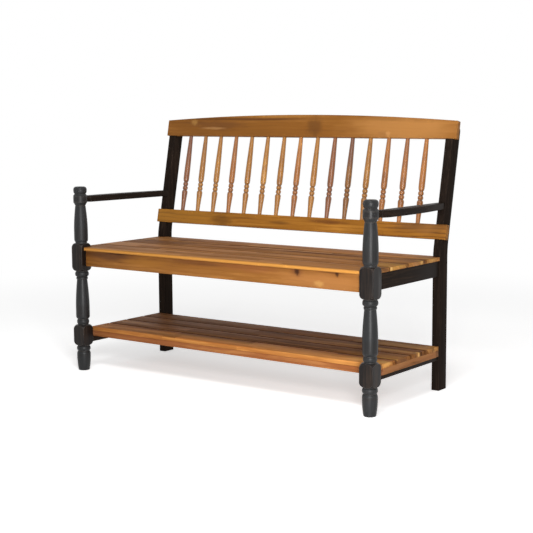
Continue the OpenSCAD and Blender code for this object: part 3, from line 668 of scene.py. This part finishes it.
wood_mark, given, out = group_of(
    "wood_mark",
    [("Vector", "Vector", (0, 0, 0)), ("Place", "Vector", (0, 0, 0)), ("Reach", "Vector", (1, 1, 1)),
     ("Ragged", "Float", 0.3)],
    [("Mask", "Float")])
from_middle = vector_node(wood_mark, "DIVIDE", vector_node(
    wood_mark, "SUBTRACT", given["Vector"], given["Place"]), given["Reach"])
far_off = node(wood_mark, "VectorMath", {0: from_middle}, operation="LENGTH").outputs["Value"]
ragged = node(wood_mark, "TexNoise", {"Vector": from_middle, "Scale": 1.7, "Detail": 3.0}).outputs[0]
frayed = math_node(wood_mark, "ADD", far_off, centred(wood_mark, ragged, given["Ragged"]))
wood_mark.links.new(smooth_step(wood_mark, frayed, 0.25, 1.0, 1.0, 0.0), out["Mask"])

wood_light = (0.53, 0.230, 0.060, 1)
wood_middle = (0.315, 0.124, 0.026, 1)
wood_dark = (0.115, 0.042, 0.011, 1)
knot_brown = (0.055, 0.020, 0.009, 1)
edge_gold = (0.72, 0.36, 0.11, 1)


def wood(name, shift, light=wood_light, middle=wood_middle, dark=wood_dark, streaks=0.6, rings=0.14,
         strips=0.0, strip_w=30, strip_l=400, turned=(0, 0, 0), marks=(), edges=0.5, specular=0.1,
         rough=0.45):
    """Oiled wood whose grain runs along x, or along the x that the turn gives it. A mark is (place, reach,
    colour, strength) in millimetres: a knot, a smudge of another tone, painted shade or a painted highlight."""
    made, tree, shader = new_material(name)
    place = node(tree, "TexCoord").outputs["Object"]
    moved = node(tree, "Mapping", {"Vector": place, "Location": shift, "Rotation": turned}).outputs[0]
    grain = placed(tree, sawn_grain, {
        "Vector": moved, "Light": light, "Middle": middle, "Dark": dark, "Streaks": streaks, "Rings": rings,
        "Strips": strips, "Strip Width": strip_w * mm, "Strip Length": strip_l * mm, "Rough": rough})
    colour = grain["Color"]
    for middle_of, reach, mark_colour, strength in marks:
        mark = placed(tree, wood_mark, {"Vector": place, "Place": Vector(middle_of) * mm,
                                        "Reach": Vector(reach) * mm, "Ragged": 0.9})["Mask"]
        colour = colour_mix(tree, math_node(tree, "MULTIPLY", mark, strength), colour, mark_colour)
    edge = placed(tree, pale_edge, {"Vector": place, "Width": 2.0 * mm, "Breaks": 0.35})["Mask"]
    colour = colour_mix(tree, math_node(tree, "MULTIPLY", edge, edges), colour, edge_gold)
    link_surface(tree, shader, colour, grain["Roughness"], grain["Height"], 0.3, 0.3)
    shader.inputs["Specular IOR Level"].default_value = specular
    return made


# Front apron
# One wide board under the front of the seat, tenoned between the posts, with two small dark knots.
# It is dark and swirled at its left end, and golden at its right end.
apron_face_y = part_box("front_apron")[0].y / mm
front_apron_t = 20
front_apron_h = 56.5
front_apron_wood = wood(
    "wood_front_apron", (0.37, 0.11, 0.05), streaks=0.6, rings=0.12, marks=[
        ((-480, apron_face_y, 424), (200, 60, 24), (0.115, 0.042, 0.016, 1), 0.8),
        ((-430, apron_face_y, 435), (70, 60, 6), knot_brown, 0.8),
        ((-310, apron_face_y, 410), (150, 60, 20), (0.40, 0.165, 0.030, 1), 0.6),
        ((-60, apron_face_y, 428), (170, 60, 14), (0.17, 0.060, 0.024, 1), 0.55),
        ((150, apron_face_y, 426), (170, 60, 20), (0.30, 0.100, 0.035, 1), 0.55),
        ((440, apron_face_y, 402), (240, 60, 50), (0.46, 0.195, 0.060, 1), 0.6),
        ((424, apron_face_y, 396), (26, 60, 13), (0.64, 0.34, 0.10, 1), 0.6),
        ((340, apron_face_y, 427), (34, 60, 22), (0.22, 0.080, 0.030, 1), 0.6),
        ((340, apron_face_y, 428), (14, 30, 17), knot_brown, 0.95),
        ((470, apron_face_y, 435), (70, 60, 7), (0.13, 0.048, 0.018, 1), 0.6),
        ((491, apron_face_y, 431), (10, 30, 13), knot_brown, 0.9)])
front_rail = level_box("front_rail", (-post_inner_x, apron_face_y, seat_low_z - front_apron_h),
                       (post_inner_x, apron_face_y + front_apron_t, seat_low_z))
fit(front_rail, front_apron_wood, "oiled_wood", "front_apron")

# Hidden seat frame
# A back apron between the legs, a brace under the middle and a cleat on each side apron.
# The slats are screwed to them from below. Their drilled CAD shapes stay, with plain wood on them.
plain_tones = dict(light=(0.46, 0.23, 0.085, 1), middle=(0.28, 0.125, 0.045, 1), streaks=0.5, edges=0.25)
frame_wood = wood("wood_frame", (0.9, 0.4, 0.2), **plain_tones)
frame_wood_across = wood("wood_frame_across", (0.2, 0.7, 0.1), turned=(0, 0, math.pi / 2), **plain_tones)


def dress(material, *names):
    """Puts a material on CAD nodes that keep their shapes."""
    for name in names:
        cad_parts[name].data.materials.clear()
        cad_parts[name].data.materials.append(material)


dress(frame_wood, "back_apron")
dress(frame_wood_across, "seat_brace", "seat_cleat_left", "seat_cleat_right")

# Seat
# Four slats along the bench, 12.5 mm thick, notched round the posts and the legs.
# The front one is wider and has a full round nose, which stands out over the apron; a painted highlight makes
# the nose pale gold.
slat_end_x = 615.5
seat_t = 12.5
seat_edge = 1.3
nose_r = 0.495 * seat_t
nose_steps = 8
notch_gap = 0.5


def box_in_mm(name):
    """The low and the high corner of a CAD node's box, in millimetres."""
    return [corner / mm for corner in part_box(name)]


def slat_outline(low, high, notched):
    """The outline of a seat slat from above, notched at its front or back corners, or not."""
    post_side = post_inner_x - notch_gap
    behind_post = post_back_y + notch_gap
    leg_side = leg_inner_x - notch_gap
    before_leg = leg_set - notch_gap
    right_end = {
        None: [(slat_end_x, low.y), (slat_end_x, high.y)],
        "front": [(post_side, low.y), (post_side, behind_post), (slat_end_x, behind_post),
                  (slat_end_x, high.y)],
        "back": [(slat_end_x, low.y), (slat_end_x, before_leg), (leg_side, before_leg), (leg_side, high.y)],
    }[notched]
    left_end = [(-x, y) for x, y in right_end]
    return [(x * mm, y * mm, low.z * mm) for x, y in left_end[:1] + right_end + left_end[:0:-1]]


# Painted shade that darkens the slats' faces in the gaps between them.
gap_shade = (0.085, 0.032, 0.011, 1)
seat_woods = [
    dict(shift=(0.13, 0.07, 0.02), streaks=0.5, strips=0.35, strip_w=37, strip_l=420,
         # A painted highlight: a pale gold stripe along the round nose.
         marks=[((200, -281.6, 442.5), (3000, 8, 9), (0.74, 0.33, 0.065, 1), 0.85),
                ((615, -205, 446), (34, 46, 14), (0.16, 0.070, 0.028, 1), 0.75)]),
    dict(shift=(1.31, 0.23, 0.02), streaks=0.6, strips=0.5, strip_w=37, strip_l=360,
         marks=[((590, -110, 447), (90, 70, 14), (0.66, 0.35, 0.085, 1), 0.6),
                # A painted highlight: a pale strip on the slat's end, along its eased front edge.
                ((614, -152, 446), (16, 11, 14), (0.84, 0.50, 0.17, 1), 0.85)]),
    dict(shift=(2.57, 0.41, 0.02), streaks=0.65, strips=0.5, strip_w=37, strip_l=390,
         marks=[((600, 10, 447), (70, 44, 14), (0.34, 0.17, 0.070, 1), 0.6),
                ((610, 38, 447), (30, 12, 14), (0.78, 0.46, 0.14, 1), 0.8),
                # Painted shade on the slat's end, beside the gap.
                ((614, 55, 447), (22, 9, 14), gap_shade, 0.8)]),
    dict(shift=(3.71, 0.63, 0.02), streaks=0.65, strips=0.5, strip_w=37, strip_l=330,
         marks=[((606, 110, 447), (50, 34, 14), (0.54, 0.32, 0.095, 1), 0.6)]),
]
for i, values in enumerate(seat_woods, 1):
    low, high = box_in_mm(f"seat_slat_{i}")
    if i > 1:
        # Painted shade on the slat's front face, in the gap behind the slat in front.
        values["marks"].append(((0, low.y, high.z - 4), (3000, 4.5, 12), gap_shade, 0.8))
    notched = {1: "front", 4: "back"}.get(i)
    board = pulled(f"seat_board_{i}", slat_outline(low, high, notched), (0, 0, seat_t * mm))
    if i == 1:
        bpy.ops.object.mode_set(mode="EDIT")
        bpy.ops.mesh.select_all(action="DESELECT")
        bpy.ops.object.mode_set(mode="OBJECT")
        for edge in board.data.edges:
            ends = [board.data.vertices[v].co for v in edge.vertices]
            in_front = all(abs(p.y - low.y * mm) < 0.1 * mm for p in ends)
            edge.select = in_front and abs(ends[0].x - ends[1].x) > 1
        bpy.ops.object.mode_set(mode="EDIT")
        bpy.ops.mesh.select_mode(type="EDGE")
        bpy.ops.mesh.bevel(offset=nose_r * mm, offset_type="OFFSET", segments=nose_steps)
        bpy.ops.mesh.select_mode(type="VERT")
        bpy.ops.object.mode_set(mode="OBJECT")
    ease(board, seat_edge)
    smooth(board)
    seat_wood = wood(f"wood_seat_{i}", light=(0.62, 0.285, 0.090, 1), middle=(0.38, 0.168, 0.050, 1),
                     rough=0.6, specular=0.07, edges=0.25, **values)
    fit(board, seat_wood, "oiled_wood", f"seat_slat_{i}")

# Lower back rail
# A straight board let into the fronts of both legs and screwed through them, bored for the spindles.
rail_end_x = 628.5
lower_rail_wood = wood("wood_lower_rail", (0.51, 0.37, 0.29), turned=(-lean, 0, 0), streaks=0.75, rings=0.2,
                       light=(0.525, 0.232, 0.038, 1), middle=(0.365, 0.147, 0.020, 1), marks=[
                           ((-480, 180, 525), (330, 60, 60), (0.54, 0.245, 0.036, 1), 0.5),
                           ((-310, 180, 525), (75, 60, 26), (0.13, 0.050, 0.010, 1), 0.6),
                           ((-45, 180, 530), (70, 60, 8), (0.12, 0.046, 0.012, 1), 0.6),
                           ((160, 180, 543), (120, 60, 11), (0.13, 0.042, 0.012, 1), 0.7),
                           ((540, 180, 543), (150, 60, 26), (0.24, 0.105, 0.032, 1), 0.6)])
rail_low_v, rail_high_v = rail_cuts[0]
rail_depth = lean_point(0, rail_t, 0) - lean_point(0, 0, 0)
lower_board = sawn("lower_back_board", [
    lean_point(x, 0, v) for x, v in [(-rail_end_x, rail_low_v), (rail_end_x, rail_low_v),
                                     (rail_end_x, rail_high_v), (-rail_end_x, rail_high_v)]], rail_depth)
fit(lower_board, lower_rail_wood, "oiled_wood", "lower_rail")

# Top back rail
# A wide board with an arched top, let into the legs like the lower one.
# It has dark smudges, small knots and a lighter right end.
top_rail_v = rail_cuts[1][0]
top_rail_h = 60
top_rail_edge = 2.2
arch_rise = 21
arch_steps = 48
top_rail_wood = wood("wood_top_rail", (0.77, 0.19, 0.43), turned=(-lean, 0, 0), streaks=0.6, rings=0.1,
                     light=(0.455, 0.194, 0.044, 1), middle=(0.270, 0.104, 0.019, 1), marks=[
                         ((-250, 248, 900), (400, 60, 7), (0.10, 0.036, 0.012, 1), 0.75),
                         ((-120, 250, 912), (330, 60, 9), (0.48, 0.22, 0.050, 1), 0.5),
                         ((-390, 244, 878), (190, 60, 24), (0.17, 0.065, 0.020, 1), 0.6),
                         ((-497, 248, 888), (22, 60, 17), (0.44, 0.22, 0.060, 1), 0.7),
                         ((-400, 243, 866), (80, 60, 7), (0.56, 0.29, 0.110, 1), 0.5),
                         ((60, 244, 872), (46, 60, 50), (0.13, 0.050, 0.014, 1), 0.6),
                         ((350, 240, 851), (34, 60, 15), (0.16, 0.058, 0.018, 1), 0.65),
                         ((366, 240, 851), (13, 60, 12), (0.62, 0.33, 0.120, 1), 0.6),
                         ((430, 243, 866), (300, 60, 70), (0.58, 0.27, 0.080, 1), 0.55)])
top_outline = [lean_point(-rail_end_x, 0, top_rail_v), lean_point(rail_end_x, 0, top_rail_v)]
for i in range(arch_steps + 1):
    t = 1 - 2 * i / arch_steps
    top_outline.append(lean_point(rail_end_x * t, 0, top_rail_v + top_rail_h + arch_rise * (1 - t * t)))
top_board = sawn("top_back_board", top_outline, rail_depth, top_rail_edge, 4)
fit(top_board, top_rail_wood, "oiled_wood", "top_rail")

# Spindles
# Fifteen turned spindles stand between the rails, with a vase, two beads and a long taper.
# Each is one piece of wood with its own tone, and painted shade darkens the cuts beside its beads.
spindle_l = 286.5
spindle_v = rail_high_v
tenon_r = 6
tenon_l = 4
spindle_r = 10.7
spindle_neck_r = 7.2
spindle_top_r = 6.9
ring_r = 9.5
ring_neck_r = 6.6
spindle_steps = 32
spindle_outline = (
    [(0, -tenon_l), (tenon_r, -tenon_l), (tenon_r, 0)] + taper(0, 68, spindle_neck_r, spindle_r, 1.35)
    + shoulder_down(68, 9, spindle_r, spindle_neck_r) + bead(79.5, 13, ring_neck_r, ring_r)
    + bead(94.5, 13, ring_neck_r, ring_r) + shoulder_up(110, 15, spindle_neck_r, spindle_r)
    + taper(150, 136.5, spindle_r, spindle_top_r, 1.35)
    + [(tenon_r, spindle_l), (tenon_r, spindle_l + tenon_l), (0, spindle_l + tenon_l)])
gold = ((0.57, 0.275, 0.056, 1), (0.38, 0.158, 0.025, 1), (0.15, 0.052, 0.011, 1))
orange = ((0.57, 0.245, 0.056, 1), (0.37, 0.135, 0.027, 1), (0.15, 0.048, 0.011, 1))
red = ((0.38, 0.150, 0.048, 1), (0.24, 0.084, 0.027, 1), (0.10, 0.032, 0.011, 1))
brown = ((0.42, 0.190, 0.041, 1), (0.27, 0.110, 0.021, 1), (0.11, 0.038, 0.010, 1))
groove_shade = (0.07, 0.024, 0.008, 1)
grooves = [78, 93.5, 109]
spindle_tones = [red, gold, gold, orange, gold, gold, gold, orange, gold, red, brown, gold,
                 orange, orange, orange]
dark_tops = {1: 0.45, 2: 0.2, 4: 0.25, 11: 0.8, 14: 0.35}
turned_spindle = turn("turned_spindle", spindle_outline, spindle_steps)
smooth(turned_spindle, 50)
into_lean = Matrix.Rotation(-lean, 4, "X")
for i, (light, middle, dark) in enumerate(spindle_tones, 1):
    low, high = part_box(f"spindle_{i:02d}")
    x = (low.x + high.x) / 2 / mm
    spindle = copy_of(turned_spindle, f"turned_spindle_{i:02d}")
    spindle.data.transform(Matrix.Translation(lean_point(x, rail_t / 2, spindle_v)) @ into_lean)
    top = lean_point(x, rail_t / 2, spindle_v + spindle_l) / mm
    marks = [(top, (40, 60, 150), (0.14, 0.050, 0.030, 1), dark_tops[i])] if i in dark_tops else []
    # Painted shade in the cuts beside the beads.
    marks += [(lean_point(x, rail_t / 2, spindle_v + v) / mm, (16, 16, 3.5), groove_shade, 0.85)
              for v in grooves]
    spindle_wood = wood(f"wood_spindle_{i:02d}", (0.31 * i, 0.17 * i, 0.13 * i), light, middle, dark,
                        streaks=0.5, rings=0.15, turned=(0, math.pi / 2, 0), marks=marks, edges=0.1,
                        specular=0.6, rough=0.26)
    fit(spindle, spindle_wood, "oiled_wood", f"spindle_{i:02d}")
bpy.data.objects.remove(turned_spindle)

# Shelf
# Four slats on a frame of flat rails, which stands on the bearers. The front slat is red and gold in strips,
# and the others are darker and browner.
shelf_edge = 1.5
shelf_woods = [
    dict(shift=(0.45, 0.83, 0.02), strips=0.45, strip_w=46, strip_l=330, light=(0.78, 0.36, 0.095, 1),
         middle=(0.48, 0.185, 0.046, 1),
         marks=[((60, -172, 150), (1000, 44, 14), (0.60, 0.27, 0.075, 1), 0.55),
                ((575, -172, 149), (130, 38, 16), (0.84, 0.45, 0.13, 1), 0.7),
                ((615, -211, 146), (16, 14, 14), (0.26, 0.115, 0.055, 1), 0.7)]),
    dict(shift=(1.67, 0.91, 0.02), strips=0.5, strip_w=45, strip_l=370, light=(0.60, 0.28, 0.080, 1),
         middle=(0.34, 0.140, 0.038, 1),
         marks=[((520, -86, 152), (190, 36, 9), (0.52, 0.25, 0.070, 1), 0.5),
                ((560, -114, 152), (120, 12, 8), (0.78, 0.42, 0.12, 1), 0.5),
                ((616, -82, 144), (9, 44, 14), (0.17, 0.075, 0.036, 1), 0.7)]),
    dict(shift=(2.83, 1.07, 0.02), strips=0.4, strip_w=45, strip_l=420, light=(0.52, 0.24, 0.072, 1),
         middle=(0.29, 0.118, 0.034, 1),
         marks=[((440, 16, 152), (260, 20, 9), (0.62, 0.32, 0.085, 1), 0.6),
                ((614, 24, 146), (16, 9, 16), (0.86, 0.50, 0.17, 1), 0.85),
                ((614, 4, 146), (20, 12, 14), (0.15, 0.062, 0.028, 1), 0.7),
                ((614, 42, 146), (16, 10, 14), knot_brown, 0.8)]),
    dict(shift=(3.91, 1.19, 0.02), strips=0.4, strip_w=45, strip_l=390, light=(0.50, 0.235, 0.072, 1),
         middle=(0.28, 0.115, 0.034, 1),
         marks=[((480, 112, 152), (260, 44, 9), (0.50, 0.26, 0.080, 1), 0.5),
                ((608, 136, 146), (40, 30, 16), (0.66, 0.32, 0.095, 1), 0.7),
                ((613, 120, 146), (14, 12, 12), knot_brown, 0.6)]),
]
for i, values in enumerate(shelf_woods, 1):
    low, high = box_in_mm(f"shelf_slat_{i}")
    if i > 1:
        # Painted shade on the slat's front face, in the gap behind the slat in front.
        values["marks"].append(((0, low.y, high.z - 4), (3000, 6, 12), gap_shade, 0.85))
    board = level_box(f"shelf_board_{i}", low, high, shelf_edge)
    fit(board, wood(f"wood_shelf_{i}", streaks=0.65, rough=0.62, specular=0.07, edges=0.25, **values),
        "oiled_wood", f"shelf_slat_{i}")

# Shelf frame
# Two long rails under the front and back of the shelf, two end rails between them and a brace in the middle.
# The end rails and the brace are drilled for screws from below, so their CAD shapes stay.
shelf_front_wood = wood("wood_shelf_front", (0.62, 0.33, 0.51), light=(0.56, 0.24, 0.075, 1),
                        middle=(0.34, 0.115, 0.036, 1), streaks=0.7)
shelf_back_wood = wood("wood_shelf_back", (1.9, 0.53, 0.31), light=(0.40, 0.19, 0.066, 1),
                       middle=(0.22, 0.092, 0.034, 1), streaks=0.6)
shelf_end_wood = wood("wood_shelf_end", (0.3, 0.9, 0.7), light=(0.54, 0.25, 0.080, 1),
                      middle=(0.33, 0.130, 0.040, 1), streaks=0.6, turned=(0, 0, math.pi / 2))
shelf_rail_edge = 1.3
for name, material in [("shelf_front_rail", shelf_front_wood), ("shelf_back_rail", shelf_back_wood)]:
    low, high = box_in_mm(name)
    batten = level_box(name.replace("rail", "batten"), low, high, shelf_rail_edge)
    fit(batten, material, "oiled_wood", name)
dress(shelf_end_wood, "shelf_end_rail_left", "shelf_end_rail_right", "shelf_brace")

# Screws
# Steel wood screws with a cross recess hold the rails, arms, slats and bearers. Only their sunk heads show,
# on the backs of the legs and underneath.
screw_steel, steel_tree, steel_shader = new_material("screw_steel_turned")
steel_place = node(steel_tree, "TexCoord").outputs["Object"]
steel_specks = stretched_noise(steel_tree, steel_place, (900, 900, 900), 3)
steel_clouds = stretched_noise(steel_tree, steel_place, (160, 160, 160), 2)
steel_colour = colour_mix(steel_tree, smooth_step(steel_tree, steel_clouds, 0.35, 0.7),
                          (0.50, 0.50, 0.52, 1), (0.36, 0.34, 0.31, 1))
steel_rough = smooth_step(steel_tree, steel_specks, 0.3, 0.7, 0.28, 0.45)
link_surface(steel_tree, steel_shader, steel_colour, steel_rough, steel_specks, 0.2, 0.05)
steel_shader.inputs["Metallic"].default_value = 1.0

head_r = 4.4
shank_r = 2.2
point_l = 5
recess_w = 4.6
recess_t = 1.1
recess_depth = 1.6
head_sunk = 1
screw_steps = 24
rail_screw_l = 35
arm_screw_l = 64
slat_screw_l = 28
slat_screw_x = 579
slat_head_z = 418.5
shelf_screw_l = 28.5
shelf_screw_x = 605.5
shelf_head_z = 118
bearer_screw_l = 22


def screw_to(name, l):
    """A screw that points up from the origin, where the top of its head is."""
    outline = [(0, 0), (head_r - 0.5, 0), (head_r, 0.35), (head_r, 0.9), (shank_r, 3), (shank_r, l - point_l),
               (0.3, l), (0, l)]
    made = turn(name, outline, screw_steps)
    for x, y in [(recess_w, recess_t), (recess_t, recess_w)]:
        combine(made, cut_block((x, y, 2 * recess_depth)), "DIFFERENCE")
    bpy.ops.object.mode_set(mode="EDIT")
    bpy.ops.mesh.select_all(action="SELECT")
    bpy.ops.mesh.dissolve_degenerate(threshold=0.01 * mm)
    bpy.ops.object.mode_set(mode="OBJECT")
    smooth(made)
    return made


def screws(name, l, heads, slot_node):
    """Copies a screw to the places of its heads, each with the direction it points, as one piece."""
    pattern = screw_to(name + "_pattern", l)
    copies = []
    for i, (place, points) in enumerate(heads):
        copies.append(copy_of(pattern, f"{name}_{i}"))
        aimed = points.to_track_quat("Z", "Y").to_matrix().to_4x4()
        copies[-1].data.transform(Matrix.Translation(place) @ aimed)
    bpy.data.objects.remove(pattern)
    bpy.ops.object.select_all(action="DESELECT")
    for made in copies:
        made.select_set(True)
    bpy.context.view_layer.objects.active = copies[0]
    bpy.ops.object.join()
    copies[0].name = name
    fit(copies[0], screw_steel, "screw_steel", slot_node)


def leg_heads(places):
    """Heads in the backs of both legs, and the way that their screws point."""
    return [(lean_point(side * leg_middle_x, leg_top_d - head_sunk, v), into_leg)
            for side in (-1, 1) for v in places]


def heads_below(xs, ys, z):
    """Heads underneath, in rows and columns, and the way that their screws point."""
    return [(Vector((x, y, z)) * mm, Vector((0, 0, 1))) for x in xs for y in ys]


seat_slat_ys = [sum(c.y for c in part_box(f"seat_slat_{i}")) / 2 / mm for i in range(1, 5)]
shelf_slat_ys = [sum(c.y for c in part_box(f"shelf_slat_{i}")) / 2 / mm for i in range(1, 5)]
screws("leg_screws", rail_screw_l, leg_heads(screw_places), "rail_screws")
screws("arm_end_screws", arm_screw_l, leg_heads([arm_screw_v]), "arm_screws")
screws("slat_screws", slat_screw_l,
       heads_below((-slat_screw_x, 0, slat_screw_x), seat_slat_ys, slat_head_z), "seat_screws")
screws("shelf_board_screws", shelf_screw_l,
       heads_below((-shelf_screw_x, 0, shelf_screw_x), shelf_slat_ys, shelf_head_z), "shelf_screws")
screws("flat_bearer_screws", bearer_screw_l,
       heads_below((-bearer_screw_x, bearer_screw_x), bearer_screw_y, bearer_low_z + head_sunk),
       "bearer_screws")

# Floor and light
# A plain white floor that runs out into a white surround. It is drawn lighter for the camera and in
# reflections than it lights the bench, and it keeps the shadow. Three lamps stand to the front right: a low
# one that gives the posts their shine, a higher one for the back, and one high up for the seat.
floor_reach = 12.0
floor_white = 0.80
floor_seen = 2.45
floor_glow = 0.5
surround_light = 0.23
fade_start = 1.3
fade_end = 3.2


def seen_rays(tree):
    """One for what the camera sees, also by reflection, and zero for the light that falls on the bench."""
    path = node(tree, "LightPath").outputs
    direct = math_node(tree, "MAXIMUM", path["Is Camera Ray"], path["Is Glossy Ray"])
    return math_node(tree, "MAXIMUM", direct, path["Is Transmission Ray"])


bpy.ops.object.select_all(action="DESELECT")
bpy.ops.mesh.primitive_plane_add(size=2 * floor_reach)
floor = bpy.context.object
floor.name = "floor"
floor_paint = bpy.data.materials.new("floor_white")
floor_paint.use_nodes = True
tree = floor_paint.node_tree
tree.nodes.remove(tree.nodes["Principled BSDF"])
place = node(tree, "TexCoord").outputs["Object"]
out_from_bench = node(tree, "VectorMath", {0: place}, operation="LENGTH").outputs["Value"]
runs_out = smooth_step(tree, out_from_bench, fade_start, fade_end)
plain = node(tree, "BsdfDiffuse", {"Color": (floor_white, floor_white, floor_white, 1)}).outputs[0]
bright = node(tree, "BsdfDiffuse", {"Color": (floor_seen, floor_seen, floor_seen, 1)}).outputs[0]
white = node(tree, "Emission", {"Color": (1, 1, 1, 1), "Strength": 1.0}).outputs[0]
near = node(tree, "MixShader", {0: floor_glow, 1: bright, 2: white}).outputs[0]
shown = node(tree, "MixShader", {0: runs_out, 1: near, 2: white}).outputs[0]
surface = node(tree, "MixShader", {0: seen_rays(tree), 1: plain, 2: shown}).outputs[0]
tree.links.new(surface, tree.nodes["Material Output"].inputs["Surface"])
floor.data.materials.append(floor_paint)

world = bpy.data.worlds.new("surround")
world.use_nodes = True
bpy.context.scene.world = world
tree = world.node_tree
strength = node(tree, "MapRange", {0: seen_rays(tree), 1: 0.0, 2: 1.0, 3: surround_light, 4: 1.0}).outputs[0]
tree.links.new(strength, tree.nodes["Background"].inputs["Strength"])
tree.nodes["Background"].inputs["Color"].default_value = (1, 1, 1, 1)


def soft_box(name, place, aim, size, power):
    """A soft rectangular studio light that points at a place."""
    lamp = bpy.data.lights.new(name, "AREA")
    lamp.shape = "RECTANGLE"
    lamp.size, lamp.size_y = size
    lamp.energy = power
    made = bpy.data.objects.new(name, lamp)
    made.location = place
    made.rotation_euler = (Vector(aim) - Vector(place)).to_track_quat("-Z", "Y").to_euler()
    bpy.context.scene.collection.objects.link(made)


soft_box("front_light", (2.2, -2.6, 0.38), (0, -0.1, 0.45), (0.7, 0.66), 62)
soft_box("back_light", (2.3, -2.7, 1.65), (0, 0.1, 0.75), (0.8, 0.6), 26)
soft_box("top_light", (0.9, -1.7, 2.9), (0, 0, 0.4), (1.1, 0.9), 31)

bpy.context.scene.view_settings.view_transform = "Standard"
